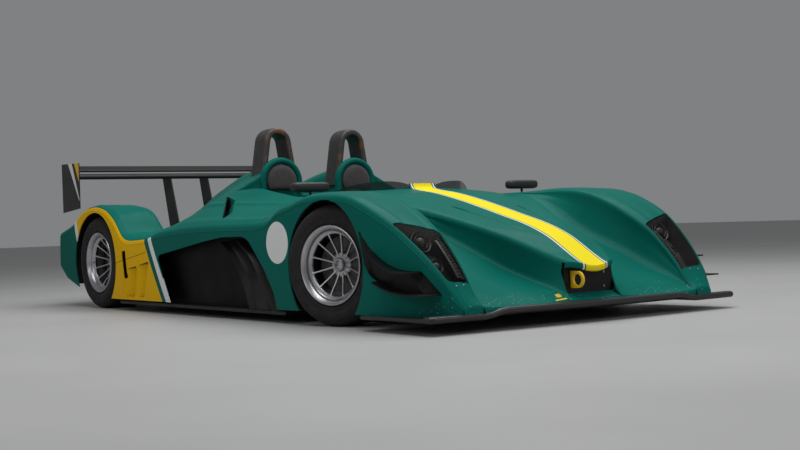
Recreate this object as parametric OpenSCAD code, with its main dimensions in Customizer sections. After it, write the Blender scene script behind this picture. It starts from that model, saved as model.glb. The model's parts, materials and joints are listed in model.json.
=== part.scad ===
/* [Overall] */
// Distance between the front and rear axles
wheelbase = 2538; // [2450:1:2700]
// Front axle to the splitter's lip
front_overhang = 886; // [870:1:940]
// Rear axle to the back of the wing's endplates
rear_overhang = 708; // [690:1:780]
// Width across the body sides
body_w = 1760; // [1720:1:1860]
// Floor of the car above the ground
ride_h = 40; // [30:1:60]
// Thickness of the body panels
skin_t = 14; // [10:1:20]

/* [Wheels] */
// Outside diameter of the tyres
tyre_d = 556; // [540:1:566]
// Width of a front tyre
front_tyre_w = 210; // [200:1:216]
// Width of a rear tyre
rear_tyre_w = 270; // [255:1:276]
// Width between the flanges of a front rim
front_rim_w = 185; // [178:1:190]
// Width between the flanges of a rear rim
rear_rim_w = 230; // [220:1:236]
// Diameter of the rim's bead seats
rim_d = 331; // [325:1:335]
// Height of the rim's flanges above the bead seats
flange_h = 17; // [12:1:20]
// Thickness of the rim's flanges
flange_t = 10; // [7:1:12]
// Thickness of the rim's barrel
barrel_t = 7; // [5:1:10]
// Number of spokes in a wheel
spokes = 12; // [8:1:14]
// Width of a spoke
spoke_w = 12; // [9:1:15]
// Depth of the spokes' outer ends behind the flange's face
spoke_dish = 33; // [28:1:40]
// Radius where the spokes meet the rim
spoke_r = 141; // [136:1:146]
// Distance of the outer flange faces inside the body sides
wheel_inset = 15; // [8:1:25]
// Radius of the hub spindles
spindle_r = 25; // [20:1:30]
// Running clearance round spindles and kingpins
run_gap = 0.3; // [0.2:0.05:0.5]
// Brake disc diameter
disc_d = 260; // [240:1:270]

/* [Steering] */
// Angle to the left at which the front wheels stand
steer_rest = 14.35; // [0:0.05:15]
// Steering axis inboard of the wheel flange
kingpin_in = 134; // [130:1:140]
// Radius of the kingpin stubs
kingpin_r = 10; // [8:0.5:12]
// Height of an upright between its two stubs
upright_h = 190; // [180:1:200]

/* [Wheel openings] */
// Radius of the front wheel opening in the body side
front_arch_r = 307; // [303:1:312]
// Front wheel opening's centre ahead of the axle
front_arch_lead = 22; // [15:1:25]
// Radius of the rear wheel opening in the body side
rear_arch_r = 303; // [298:1:310]

/* [Wing] */
// Half the wing's span to the outside of its endplates
wing_half = 793; // [760:1:800]
// Thickness of the endplates and pylons
plate_t = 8; // [6:1:12]
// Height of the wing's leading edge
wing_z = 815; // [790:1:840]
// Chord of the wing's main plane
wing_chord = 190; // [170:1:205]
// Half the distance between the wing pylons
pylon_y = 138; // [120:1:170]

/* [Cockpit] */
// Half the distance between the roll hoops
hoop_y = 252; // [240:1:262]
// Top of the roll hoops
hoop_top = 1019; // [1000:1:1060]
// Half the outside width of a roll hoop at its feet
hoop_half = 119; // [112:1:124]
// Outside radius of a roll hoop's top
hoop_crown = 88; // [80:1:96]
// Thickness of a roll hoop's band
hoop_band = 34; // [28:1:40]
// Depth of a roll hoop from front to back
hoop_depth = 110; // [90:1:120]
// Half the width of the cockpit opening
cockpit_half = 545; // [530:1:555]

/* [Tow eye] */
// Radius of the hole in the tow eye
tow_hole_r = 26; // [22:1:30]
// Thickness of the tow eye's plate
tow_t = 12; // [8:1:16]

/* [Hidden] */
$fn = 64;
length = front_overhang + wheelbase + rear_overhang;
front_x = length / 2 - front_overhang;
rear_x = front_x - wheelbase;
axle_z = tyre_d / 2;
half_w = body_w / 2;
flange_y = half_w - wheel_inset;

// The body lines are drawn on a car with these sizes
drawn_wheelbase = 2538;
drawn_half = 880;
drawn_ride = 40;
inner_zone = 560;

// Place of a drawn station: 0 is the front axle, forward is positive
function at_x(s) = s >= 0 ? front_x + s
    : s <= -drawn_wheelbase ? rear_x + s + drawn_wheelbase
    : front_x + s * wheelbase / drawn_wheelbase;
// Place of a drawn half width: the outer zone keeps its distance to the body side
function at_y(v) = let (grow = half_w - drawn_half)
    v >= inner_zone ? v + grow : v * (inner_zone + grow) / inner_zone;
// Place of a drawn height
function at_z(w) = w + ride_h - drawn_ride;

// Body lines as [station, value] pairs, from the nose backwards
crown_z = [[846, 245], [752, 303], [626, 378], [495, 430], [293, 485], [143, 525], [-4, 562],
    [-215, 606], [-327, 622], [-392, 634], [-560, 640]];
chine_y = [[846, 110], [800, 144], [735, 177], [579, 234], [402, 281], [196, 335], [-54, 400], [-254, 450],
    [-560, 500]];
chine_z = [[846, 258], [800, 277], [735, 305], [579, 370], [402, 431], [196, 490], [-54, 552], [-254, 588],
    [-392, 606], [-560, 612]];
foot_y = [[846, 140], [796, 165], [644, 205], [516, 240], [396, 285], [196, 342], [-54, 415], [-254, 465],
    [-560, 515]];
foot_z = [[846, 104], [796, 135], [644, 185], [516, 236], [396, 302], [196, 402], [96, 455], [-54, 532],
    [-254, 580], [-560, 604]];
wall_y = [[846, 640], [500, 610], [300, 570], [100, 558], [-100, 558], [-560, 556]];
wall_z = [[846, 104], [805, 115], [783, 130], [610, 196], [431, 278], [188, 376], [96, 425], [-4, 485],
    [-104, 535], [-254, 580], [-392, 598], [-560, 602]];
ridge_y = [[846, 645], [727, 637], [582, 625], [371, 606], [146, 612], [-54, 616], [-254, 606], [-560, 575]];
ridge_z = [[846, 106], [806, 129], [772, 181], [727, 245], [652, 328], [582, 392], [494, 450], [371, 517],
    [242, 566], [146, 590], [46, 603], [-54, 608], [-254, 604], [-560, 600]];
edge_y = [[846, 745], [803, 775], [763, 787], [701, 806], [606, 832], [502, 855], [430, 866], [355, 873],
    [272, 877], [-560, 878]];
edge_z = [[846, 106], [831, 127], [803, 178], [763, 236], [701, 302], [606, 386], [502, 463], [430, 502],
    [355, 536], [272, 568], [186, 588], [86, 597], [-4, 600], [-104, 597], [-204, 583], [-254, 568],
    [-404, 535], [-456, 504], [-525, 482], [-664, 476], [-1035, 476], [-1663, 450], [-1858, 420],
    [-2054, 414], [-2126, 424], [-2273, 543], [-2406, 605], [-2538, 622], [-2654, 612], [-2797, 565],
    [-2875, 523], [-3087, 468]];
// Cockpit edge along the side of the opening
rim_z = [[-560, 602], [-677, 606], [-898, 637], [-1123, 668], [-1382, 660], [-1700, 596], [-2069, 520],
    [-2370, 470], [-2614, 456], [-3087, 450]];
// Inner side and crown of a rear wing
rear_wall_z = [[-560, 590], [-1382, 620], [-1700, 560], [-2069, 490], [-2150, 500], [-2300, 575], [-2406, 600],
    [-2538, 612], [-2654, 600], [-2797, 556], [-2875, 520], [-3087, 464]];
rear_wall_y = [[-560, 610], [-1700, 640], [-2069, 640], [-2300, 600], [-2797, 600], [-3087, 610]];
// Engine cover: valley between the fairings and the fairings' spines
valley_z = [[-1382, 640], [-1700, 636], [-2069, 592], [-2370, 525], [-2614, 466], [-3087, 452]];
spine_z = [[-1382, 828], [-1650, 792], [-2069, 693], [-2370, 580], [-2614, 480], [-2760, 458], [-3087, 453]];
// A fairing's sides as [distance from its spine, share of its rise]: towards the valley, and outwards
fairing_in = [[122, 0.02], [96, 0.74]];
fairing_out = [[62, 0.914], [125, 0.57]];

// Half width of the knee in the top of a body side
knee_y = 750;
// Outer side below the crease, and the sill
sill_z = 66;
front_stations = [846, 831, 803, 763, 701, 606, 502, 402, 300, 196, 96, -4, -104, -204, -254, -330, -392, -456,
    -560];
side_stations = [-560, -664, -1035, -1382, -1700];
rear_stations = [-1700, -1858, -2054, -2126, -2200, -2273, -2340, -2406, -2538, -2654, -2797, -2875, -3087];
cover_stations = [-1382, -1500, -1650, -1860, -2069, -2220, -2370, -2490, -2614, -2760, -3087];

function flank(s) = let (e = at_y(lookup(s, edge_y)), z = at_z(lookup(s, edge_z)))
    [[e + 6, max(z - 60, at_z(sill_z) + 0.45 * (z - at_z(sill_z)))], [e + 4, at_z(sill_z)]];
function front_section(s) = concat([
    [0, at_z(lookup(s, crown_z))],
    [at_y(lookup(s, chine_y)), at_z(lookup(s, chine_z))],
    [at_y(lookup(s, foot_y)), at_z(lookup(s, foot_z))],
    [at_y(lookup(s, wall_y)), at_z(lookup(s, wall_z))],
    [at_y(lookup(s, ridge_y)), at_z(lookup(s, ridge_z))],
    [at_y((lookup(s, ridge_y) + lookup(s, edge_y)) / 2),
        at_z((lookup(s, ridge_z) + lookup(s, edge_z)) / 2 + 10)],
    [at_y(lookup(s, edge_y)), at_z(lookup(s, edge_z))]], flank(s));
function side_section(s) = concat([
    [at_y(inner_zone), at_z(lookup(s, rim_z))],
    [at_y(lookup(s, rear_wall_y)), at_z(lookup(s, rear_wall_z))],
    [at_y(knee_y), at_z(0.45 * lookup(s, rear_wall_z) + 0.55 * lookup(s, edge_z) + 12)],
    [at_y(lookup(s, edge_y)), at_z(lookup(s, edge_z))]], flank(s));
function cover_section(s) = let (
    top = lookup(s, spine_z),
    low = lookup(s, valley_z),
    out = lookup(s, rim_z))
    concat([[0, at_z(low)]],
        [for (p = fairing_in) [at_y(hoop_y - p[0]), at_z(low + p[1] * (top - low))]],
        [[at_y(hoop_y), at_z(top)]],
        [for (p = fairing_out) [at_y(hoop_y + p[0]), at_z(out + p[1] * (top - out))]],
        [[at_y(inner_zone) - panel_gap, at_z(out)]]);
panel_gap = 0.6;

// Inside of a panel: every point of its section moved in by the panel's thickness
function along(a, b) = (b - a) / norm(b - a);
function inward(d) = [d[1], -d[0]];
function corner(p, i) = let (
    d1 = inward(along(p[max(i - 1, 0)], p[max(i, 1)])),
    d2 = inward(along(p[min(i, len(p) - 2)], p[min(i + 1, len(p) - 1)])),
    mid = (d1 + d2) / norm(d1 + d2)) mid / max(mid * d1, 0.6);
// The first point moves straight down, so that neighbours and mirrored halves meet there
function inset(p, t) = [for (i = [0 : len(p) - 1]) p[i] + t * (i == 0 ? [0, -1] : corner(p, i))];
function on_plane(x, p) = [x, p[0], p[1]];

// One convex block between two cross-sections of a panel
module cell(x1, a1, a2, b1, b2, x2, c1, c2, d1, d2) {
    points = [on_plane(x1, a1), on_plane(x1, a2), on_plane(x1, b1), on_plane(x1, b2),
        on_plane(x2, c1), on_plane(x2, c2), on_plane(x2, d1), on_plane(x2, d2)];
    hull() polyhedron(points, [[0, 1, 2], [1, 3, 2], [4, 6, 5], [5, 6, 7], [0, 4, 1], [1, 4, 5]]);
}
// Panel on the left side that follows the sections of its stations
module panel(stations, sections, t = skin_t) {
    for (k = [0 : len(stations) - 2]) {
        p = sections[k];
        q = sections[k + 1];
        pin = inset(p, t);
        qin = inset(q, t);
        for (i = [0 : len(p) - 2])
            cell(at_x(stations[k]), p[i], p[i + 1], pin[i], pin[i + 1],
                at_x(stations[k + 1]), q[i], q[i + 1], qin[i], qin[i + 1]);
    }
}
module both_sides() {
    children();
    mirror([0, 1, 0]) children();
}
// Plate standing along the car: outline in [station, height], between two half widths
module side_plate(outline, y1, y2) {
    translate([0, y2, 0]) rotate([90, 0, 0]) linear_extrude(y2 - y1) polygon(outline);
}
// Flat plate: outline in [x, y], between two heights
module flat_plate(outline, z1, z2) {
    translate([0, 0, z1]) linear_extrude(z2 - z1) polygon(outline);
}
// Rounded rod between two points
module rod(a, b, r) {
    d = b - a;
    translate(a) rotate([0, acos(d[2] / norm(d)), atan2(d[1], d[0])]) cylinder(r = r, h = norm(d), $fn = 24);
}

// Front bodywork
module across(x, z, r, y1, y2) {
    translate([x, y2, z]) rotate([90, 0, 0]) cylinder(r = r, h = y2 - y1);
}
front_arch_x = front_x + front_arch_lead;
arch_z = at_z(268);
// Lamp opening in plan, as [station, half width]
lamp_plan = [[751, 645], [752, 748], [700, 775], [606, 808], [502, 848], [554, 632]];
lamp_low = 120;
lamp_high = 720;
module lamp_hole(margin) {
    translate([0, 0, at_z(lamp_low)]) linear_extrude(lamp_high - lamp_low) offset(delta = -margin)
        polygon([for (p = lamp_plan) [at_x(p[0]), at_y(p[1])]]);
}
// Cockpit opening in plan, with a rounded front
cockpit_front = -392;
cockpit_back = -1382;
cockpit_corner = 120;
cockpit_shoulder = 200;
cockpit_bend = 60;
cockpit_bend_s = -600;
cockpit_low = 300;
cockpit_high = 800;
module cockpit_plan(grow) {
    hull() {
        translate([at_x(cockpit_back), -at_y(cockpit_half) - grow])
            square([10, 2 * (at_y(cockpit_half) + grow)]);
        for (side = [-1, 1]) {
            translate([at_x(cockpit_bend_s), side * (at_y(cockpit_half) - cockpit_bend)])
                circle(cockpit_bend + grow);
            translate([at_x(cockpit_front) - cockpit_corner, side * cockpit_shoulder])
                circle(cockpit_corner + grow);
        }
    }
}
// Black opening in the body side, as [station, height]
side_opening = [[-398, 30], [-429, 145], [-507, 251], [-587, 329], [-652, 390], [-731, 419], [-944, 417],
    [-1140, 394], [-1690, 321], [-1524, 30]];
module side_hole() {
    side_plate([for (p = side_opening) [at_x(p[0]), at_z(p[1])]], at_y(cut_in), at_y(cut_out));
}
// Nose tip in plan: its front edge sweeps back to the corners
nose_s = 846;
nose_half = 152;
nose_low = 200;
nose_high = 300;
// Mouth below the nose tip, for the front panel
mouth_top = 236;
mouth_low = 60;
mouth_depth = 3;
mouth_reach = 80;
nose_sweep = 48;
nose_corner = 144;
nose_steps = 8;
nose_cut = concat([for (i = [0 : nose_steps]) let (y = nose_half * i / nose_steps)
    [at_x(nose_s - nose_sweep * pow(y / nose_corner, 3)), at_y(y)]],
    [[at_x(nose_s) + skin_t, at_y(nose_half)], [at_x(nose_s) + skin_t, 0]]);
// Crescent-shaped vent in the fender's side ahead of the wheel, as [station, height]
vent_top = [[294, 461], [329, 406], [376, 360], [438, 314], [500, 281], [558, 263], [615, 256], [667, 256]];
vent_low = [[766, 156], [701, 156], [634, 159], [564, 167], [496, 182], [427, 207], [375, 233], [340, 260]];
vent = concat(vent_top, vent_low);
// Cuts through a body side run from inside it to beyond it
cut_depth = 180;
cut_over = 40;
cut_in = drawn_half - cut_depth;
cut_out = drawn_half + cut_over;
module vent_hole(margin) {
    translate([0, at_y(cut_out), 0]) rotate([90, 0, 0]) linear_extrude(at_y(cut_out) - at_y(cut_in))
        offset(delta = margin) polygon([for (p = vent) [at_x(p[0]), at_z(p[1])]]);
}
module front_body() {
    color([0.02, 0.27, 0.21]) both_sides() difference() {
        panel(front_stations, [for (s = front_stations) front_section(s)]);
        across(front_arch_x, arch_z, front_arch_r, at_y(cut_in), at_y(cut_out));
        lamp_hole(0);
        side_hole();
        vent_hole(0);
        flat_plate(nose_cut, at_z(nose_low), at_z(nose_high));
        translate([at_x(nose_panel_s) - nose_panel_t - mouth_depth, -1, at_z(mouth_low)])
            cube([mouth_reach, at_y(nose_half) + 1, at_z(mouth_top) - at_z(mouth_low)]);
        translate([0, 0, at_z(cockpit_low)]) linear_extrude(cockpit_high - cockpit_low) cockpit_plan(0);
    }
}

// Lamps: a dark bay with two round lamps under each opening, and a clear cover
lamp_gap = 1;
lamp_air = 12;
lens_t = 5;
bay_depth = 75;
bay_t = 6;
lamp_stations = [831, 803, 763, 701, 606, 502, 402];
lamps = [[640, 745, 44], [712, 705, 28]];
function fender_top(s, drop) = [for (i = [4 : 6]) front_section(s)[i] - [0, drop]];
function fender_z(s, y) = let (p = front_section(s))
    lookup(y, [for (i = [4 : 6]) [p[i][0], p[i][1]]]);
module lamp_bays() {
    color([0.05, 0.05, 0.05]) both_sides() {
        intersection() {
            difference() {
                lamp_hole(lamp_gap);
                lamp_hole(lamp_gap + bay_t);
            }
            panel(lamp_stations, [for (s = lamp_stations) fender_top(s, lens_t + lamp_air / 2)], bay_depth);
        }
        intersection() {
            lamp_hole(lamp_gap);
            panel(lamp_stations, [for (s = lamp_stations) fender_top(s, lens_t + lamp_gap + bay_depth)], bay_t);
        }
        intersection() {
            lamp_hole(lamp_gap);
            panel(lamp_stations, [for (s = lamp_stations) fender_top(s, lens_t + lamp_air)], bay_depth);
            for (l = lamps)
                translate([at_x(l[0]) - 40, at_y(l[1]), fender_z(l[0], at_y(l[1])) - bay_depth - 10])
                    rotate([0, 40, 0]) cylinder(r1 = l[2] * 0.6, r2 = l[2], h = bay_depth + 20);
        }
    }
}
module lamp_lenses() {
    color([0.7, 0.75, 0.78, 0.4]) both_sides() intersection() {
        lamp_hole(lamp_gap);
        panel(lamp_stations, [for (s = lamp_stations) fender_top(s, 0)], lens_t);
    }
}

// Splitter and floor
splitter_z = at_z(48);
splitter_t = at_z(sill_z) - splitter_z;
splitter_back = 318;
splitter_plan = [[860, 700], [851, 917], [760, 922], [560, 922], [340, 905], [333, 640],
    [splitter_back, 560]];
function both_edges(half) = concat(half, [for (i = [len(half) - 1 : -1 : 0]) [half[i][0], -half[i][1]]]);
function both_flanks(half) = concat(half, [for (i = [len(half) - 1 : -1 : 0]) [-half[i][0], half[i][1]]]);
function placed(half) = both_edges([for (p = half) [at_x(p[0]), at_y(p[1])]]);
lip_plan = [[838, 600], [760, 612], [700, 612]];
module splitter() {
    color([0.04, 0.04, 0.045]) {
        flat_plate(placed(concat([[front_overhang, 120]], splitter_plan)), splitter_z, splitter_z + splitter_t);
        flat_plate(placed(lip_plan), splitter_z + splitter_t, at_z(87));
    }
}
floor_t = 16;
// Diffuser behind the floor: start and end stations, rise, half width and its upright fences
diffuser = [-2700, -3060];
diffuser_rise = 110;
diffuser_t = 12;
diffuser_half = 520;
fence_t = 8;
fence_pitch = 260;
fence_foot = [[-3060, 100], [-2960, 60]];
floor_plan = [[splitter_back - run_gap, 540], [-330, 540], [-345, 872], [-2215, 872], [-2225, 560],
    [diffuser[0], 560]];
// Plate across the car's middle, outline as [station, height]
module middle_plate(outline, half) {
    side_plate([for (p = outline) [at_x(p[0]), at_z(p[1])]], -half, half);
}
module floor_tray() {
    roof = drawn_ride + diffuser_rise;
    lead = diffuser[0] + floor_t / 2;
    color([0.05, 0.05, 0.055]) {
        flat_plate(placed(floor_plan), ride_h, ride_h + floor_t);
        middle_plate([[diffuser[0], drawn_ride], [diffuser[1], roof], [diffuser[1], roof + diffuser_t],
            [diffuser[0], drawn_ride + floor_t]], diffuser_half);
        for (i = [-1.5 : 1.5]) translate([0, i * fence_pitch, 0])
            middle_plate(concat([[lead, drawn_ride + floor_t], [diffuser[1], roof + diffuser_t]], fence_foot,
                [[lead, drawn_ride]]), fence_t / 2);
    }
}

// Front panel in the nose, and its tow eye
nose_panel_s = 797;
nose_panel_t = 12;
nose_panel_foot = 88;
nose_gap = 0.4;
nose_lean = 7;
module nose_panel() {
    color([0.03, 0.03, 0.03]) translate([at_x(nose_panel_s), 0, 0]) rotate([90, 0, -90])
        linear_extrude(nose_panel_t) polygon(both_flanks([[at_y(nose_half) - nose_gap, at_z(nose_panel_foot)],
            [at_y(nose_half) - nose_lean, at_z(mouth_top) - nose_gap]]));
}
tow_y = 100;
tow_z = 187;
tow_reach = 40;
tow_rim = 11;
module tow_eye() {
    color([0.85, 0.65, 0.03]) translate([at_x(nose_panel_s), -tow_y - tow_t / 2, at_z(tow_z)]) difference() {
        union() {
            translate([tow_reach, tow_t, 0]) rotate([90, 0, 0]) cylinder(r = tow_hole_r + tow_rim, h = tow_t);
            translate([0, 0, -tow_hole_r - tow_rim]) cube([tow_reach, tow_t, 2 * (tow_hole_r + tow_rim)]);
        }
        translate([tow_reach, tow_t + 1, 0]) rotate([90, 0, 0]) cylinder(r = tow_hole_r, h = tow_t + 2);
    }
}

// Dive planes along the vent's edges, on the vent's black back, which lies against the inside of the fender
canard_t = 7;
canard_y = 912;
canard_lines = [[[400, 338], [438, 312], [500, 279], [558, 261], [615, 254], [667, 254]],
    [[427, 214], [496, 189], [564, 174], [634, 166], [701, 163], [760, 163]]];
vent_back_t = 6;
vent_margin = 12;
vent_gap = 1.8;
vent_stations = [196, 300, 402, 502, 606, 701, 763, 803];
// Inside of the fender's side, from above the vent to the sill
function vent_section(s) = let (p = flank(s), d = [skin_t + vent_gap, 0])
    [p[0] + [0, p[0][1] - p[1][1]] - d, p[0] - d, p[1] - d];
vent_seat = [for (s = vent_stations) [at_x(s), flank(s)[0][0] - skin_t - vent_gap - vent_back_t / 2]];
module canards() {
    color([0.03, 0.03, 0.033]) both_sides() {
        intersection() {
            panel(vent_stations, [for (s = vent_stations) vent_section(s)], vent_back_t);
            vent_hole(vent_margin);
        }
        for (line = canard_lines) {
            top = [for (p = line) [at_x(p[0]), at_z(p[1])]];
            low = [for (i = [len(line) - 1 : -1 : 0]) top[i] - [0, canard_t]];
            difference() {
                intersection() {
                    side_plate(concat(top, low), at_y(cut_in), at_y(canard_y));
                    vent_hole(-run_gap);
                }
                flat_plate(concat([[vent_seat[len(vent_seat) - 1][0], 0], [vent_seat[0][0], 0]], vent_seat),
                    at_z(100), at_z(500));
            }
        }
    }
}

// Body sides behind the front wheels, down to the sill, round the black opening, each with a slanted air
// outlet in its top, as [station, half width]
scoop_low = 450;
scoop_high = 700;
scoop_plan = [[-1361, 609], [-1191, 651], [-1025, 761], [-1029, 826]];
module side_pod() {
    difference() {
        panel(side_stations, [for (s = side_stations) side_section(s)]);
        side_hole();
        flat_plate([for (p = scoop_plan) [at_x(p[0]), at_y(p[1])]], at_z(scoop_low), at_z(scoop_high));
    }
}
module side_pod_left() { color([0.02, 0.27, 0.21]) side_pod(); }
module side_pod_right() { color([0.02, 0.27, 0.21]) mirror([0, 1, 0]) side_pod(); }

// Black panels inside the side openings, and the curved vanes ahead of them
recess_y = 800;
recess_t = 12;
recess_foot = drawn_ride + floor_t + run_gap;
recess_outline = [[-380, recess_foot], [-1740, recess_foot], [-1740, 330], [-1140, 410], [-760, 430],
    [-380, 430]];
module side_panels() {
    color([0.04, 0.04, 0.042]) both_sides()
        side_plate([for (p = recess_outline) [at_x(p[0]), at_z(p[1])]],
            at_y(recess_y), at_y(recess_y) + recess_t);
}
// Rear edges of the curved vanes, as [station, height] from the top; each runs forward to the next one's gap
vane_edges = [[[-1010, 393], [-890, 304], [-788, 174], [-731, recess_foot]],
    [[-906, 400], [-739, 240], [-670, 130], [-634, recess_foot]],
    [[-815, 405], [-670, 305], [-553, 157], [-478, recess_foot]]];
vane_w = 70;
vane_rise = [34, 44, 54];
vane_t = 8;
module side_vanes() {
    color([0.03, 0.03, 0.03]) both_sides() for (i = [0 : len(vane_edges) - 1]) {
        back = [for (p = vane_edges[i]) [at_x(p[0]), at_z(p[1])]];
        front = [for (k = [len(back) - 1 : -1 : 0]) back[k] + [vane_w, 0]];
        root = at_y(recess_y) + recess_t + run_gap;
        intersection() {
            side_plate(concat(back, front), root, root + vane_rise[i]);
            for (k = [0 : len(back) - 2]) hull() for (p = [back[k], back[k + 1]])
                translate([p[0], root, p[1]]) vane_profile(vane_rise[i]);
        }
    }
}
// A vane in plan: a blade that stands off the panel and leans forward to its foot
module vane_profile(rise) {
    linear_extrude(0.5) polygon([[0, rise - vane_t], [0, rise], [vane_w, vane_t], [vane_w, 0],
        [vane_w - vane_t, 0]]);
}

// Engine cover with the two headrest fairings, and the bulkhead that closes its front above the tub
seat_gap = 1;
bulkhead_t = 9;
bulkhead_set = 0.5;
module engine_cover() {
    edge = inset(cover_section(cockpit_back), skin_t / 2);
    last = len(edge) - 1;
    half = concat([for (i = [1 : last]) edge[i]], [[edge[last][0], at_z(tub_back_top) + run_gap]]);
    color([0.02, 0.27, 0.21]) difference() {
        union() {
            both_sides() panel(cover_stations, [for (s = cover_stations) cover_section(s)]);
            translate([at_x(cockpit_back) - bulkhead_t - bulkhead_set, 0, 0]) rotate([90, 0, 90])
                linear_extrude(bulkhead_t) polygon(both_flanks(half));
        }
        both_sides() hoop_band_solid(seat_gap);
    }
}

// Rear wings with the wheel openings and the yellow panels ahead of them; the tail's lower corner sweeps up
rear_cut_in = 580;
tail_cut = [[-2700, 96], [-2978, 179], [-3110, 273], [-3110, 20], [-2700, 20]];
// Slot and two louvres ahead of the rear wheel, as [station, height]; a louvre is deepest at its front edge
slot = [[-2182, 346], [-2166, 349], [-2103, 189], [-2119, 186]];
louvres = [[[-2101, 249], [-1984, 265], [-2053, 80], [-2198, 77]],
    [[-1972, 266], [-1816, 287], [-1894, 83], [-2041, 80]]];
louvre_depth = 10;
louvre_face = 884;
module louvre(corners) {
    rear = corners[0];
    foot = corners[3];
    front = corners[1];
    lean = atan((rear[0] - foot[0]) / (rear[1] - foot[1]));
    reach = at_x(front[0]) - at_x(rear[0]);
    intersection() {
        side_plate([for (p = corners) [at_x(p[0]), at_z(p[1])]], at_y(louvre_face - 2 * louvre_depth),
            at_y(louvre_face + louvre_depth));
        translate([at_x(rear[0]), at_y(louvre_face), at_z(rear[1])]) rotate([0, lean, 0])
            translate([0, 0, -reach * 3]) linear_extrude(reach * 6)
                polygon([[-1, 0], [reach, -louvre_depth], [reach, louvre_depth], [-1, louvre_depth]]);
    }
}
module rear_wing() {
    difference() {
        panel(rear_stations, [for (s = rear_stations) side_section(s)]);
        across(rear_x, axle_z, rear_arch_r, at_y(rear_cut_in), at_y(cut_out));
        side_plate([for (p = tail_cut) [at_x(p[0]), at_z(p[1])]], at_y(rear_cut_in), at_y(cut_out));
        side_plate([for (p = slot) [at_x(p[0]), at_z(p[1])]], at_y(cut_in), at_y(cut_out));
        for (l = louvres) louvre(l);
    }
}
module rear_wing_left() { color([0.02, 0.27, 0.21]) rear_wing(); }
module rear_wing_right() { color([0.02, 0.27, 0.21]) mirror([0, 1, 0]) rear_wing(); }
// Tail panel seen from behind as [half width, height], with a row of air outlets
tail_set = 37;
tail_s = cover_stations[len(cover_stations) - 1] + tail_set;
tail_t = 10;
tail_outline = [[500, 163], [545, 215], [545, 436]];
outlet_size = [130, 110];
outlet_pitch = 160;
outlet_low = 250;
module tail_panel() {
    color([0.04, 0.04, 0.04]) translate([at_x(tail_s), 0, 0]) rotate([90, 0, -90]) linear_extrude(tail_t)
        difference() {
            polygon(both_flanks([for (p = tail_outline) [at_y(p[0]), at_z(p[1])]]));
            for (i = [-2.5 : 2.5]) translate([i * outlet_pitch - outlet_size[0] / 2, at_z(outlet_low)])
                square(outlet_size);
        }
}

// Roll hoops and headrests
hoop_s = -1452;
hoop_foot = 690;
hoop_turns = 24;
// Outline seen from the front: leaning legs that run into a round top
function hoop_outline(grow, low) = let (
    r = hoop_crown + grow,
    foot = hoop_half + grow,
    z = at_z(hoop_top) - hoop_crown,
    lean = atan((foot - r) / (z - low)),
    step = (180 - 2 * lean) / hoop_turns)
    concat([[-foot, low]], [for (i = [0 : hoop_turns]) let (a = 180 - lean - i * step)
        [r * cos(a), z + r * sin(a)]], [[foot, low]]);
module hoop_solid(grow, low, depth) {
    translate([at_x(hoop_s) - depth / 2, at_y(hoop_y), 0]) rotate([90, 0, 90]) linear_extrude(depth)
        polygon(hoop_outline(grow, low));
}
// The hoop's band, grown by a gap for its slot in the engine cover
module hoop_band_solid(gap) {
    difference() {
        hoop_solid(gap, at_z(hoop_foot) - gap, hoop_depth + 2 * gap);
        hoop_solid(-hoop_band - gap, at_z(hoop_foot) - 2 * gap - 1, 2 * hoop_depth);
    }
}
module hoops() {
    color([0.07, 0.07, 0.07]) both_sides() hoop_band_solid(0);
}
pad_w = 176;
pad_t = 34;
pad_foot = 668;
pad_rise = 46;
module headrests() {
    color([0.08, 0.08, 0.085]) both_sides()
        translate([at_x(cockpit_back) + run_gap, at_y(hoop_y), at_z(pad_foot)]) rotate([90, 0, 90])
            linear_extrude(pad_t) union() {
                translate([0, pad_rise]) circle(pad_w / 2);
                translate([-pad_w / 2, 0]) square([pad_w, pad_rise]);
            }
}

// Wing on its two pylons
wing_reach = 275;
wing_front = rear_x - rear_overhang + wing_reach;
module wing_section(chord, thick, x, z, tilt, half) {
    translate([wing_front - x, half, z]) rotate([90, tilt, 0]) linear_extrude(2 * half) union() {
        translate([-thick / 2, 0]) circle(thick / 2, $fn = 32);
        polygon([[-thick / 2, thick / 2], [-chord * 0.4, thick * 0.55], [-chord, 1.5], [-chord, -1.5],
            [-chord * 0.4, -thick * 0.7], [-thick / 2, -thick / 2]]);
    }
}
wing_t = 30;
wing_tilt = 8;
flap_chord = 95;
flap_t = 16;
flap_tilt = 24;
flap_lift = 46;
flap_lap = 18;
module main_plane(half) {
    wing_section(wing_chord, wing_t, 0, at_z(wing_z), wing_tilt, half);
}
module wing_main() {
    color([0.03, 0.03, 0.03]) main_plane(wing_half - plate_t);
}
module wing_flap() {
    color([0.03, 0.03, 0.03])
        wing_section(flap_chord, flap_t, wing_chord - flap_lap, at_z(wing_z) + flap_lift, flap_tilt,
            wing_half - plate_t);
}
endplate_outline = [[3, 907], [-wing_reach, 912], [3 - wing_reach, 595], [-2, 617]];
module endplates() {
    color([0.03, 0.03, 0.03]) both_sides()
        side_plate([for (p = endplate_outline) [wing_front + p[0], at_z(p[1])]],
            wing_half - plate_t, wing_half);
}
pylon_low = [-2870, -3006];
pylon_high = [-2990, -3110];
pylon_rise = [2, 19];
// Height of the engine cover under a pylon
deck_gap = 0.9;
function deck_z(s) = let (p = cover_section(s)) lookup(at_y(pylon_y), [for (i = [0 : 3]) p[i]]) + deck_gap;
module wing_pylons() {
    color([0.03, 0.03, 0.03]) both_sides() difference() {
        side_plate([[at_x(pylon_low[0]), deck_z(pylon_low[0])], [at_x(pylon_low[1]), deck_z(pylon_low[1])],
            [at_x(pylon_high[1]), at_z(wing_z) + pylon_rise[1]],
            [at_x(pylon_high[0]), at_z(wing_z) + pylon_rise[0]]],
            at_y(pylon_y) - plate_t / 2, at_y(pylon_y) + plate_t / 2);
        translate([0, 0, -run_gap]) main_plane(2 * pylon_y);
    }
}

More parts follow.
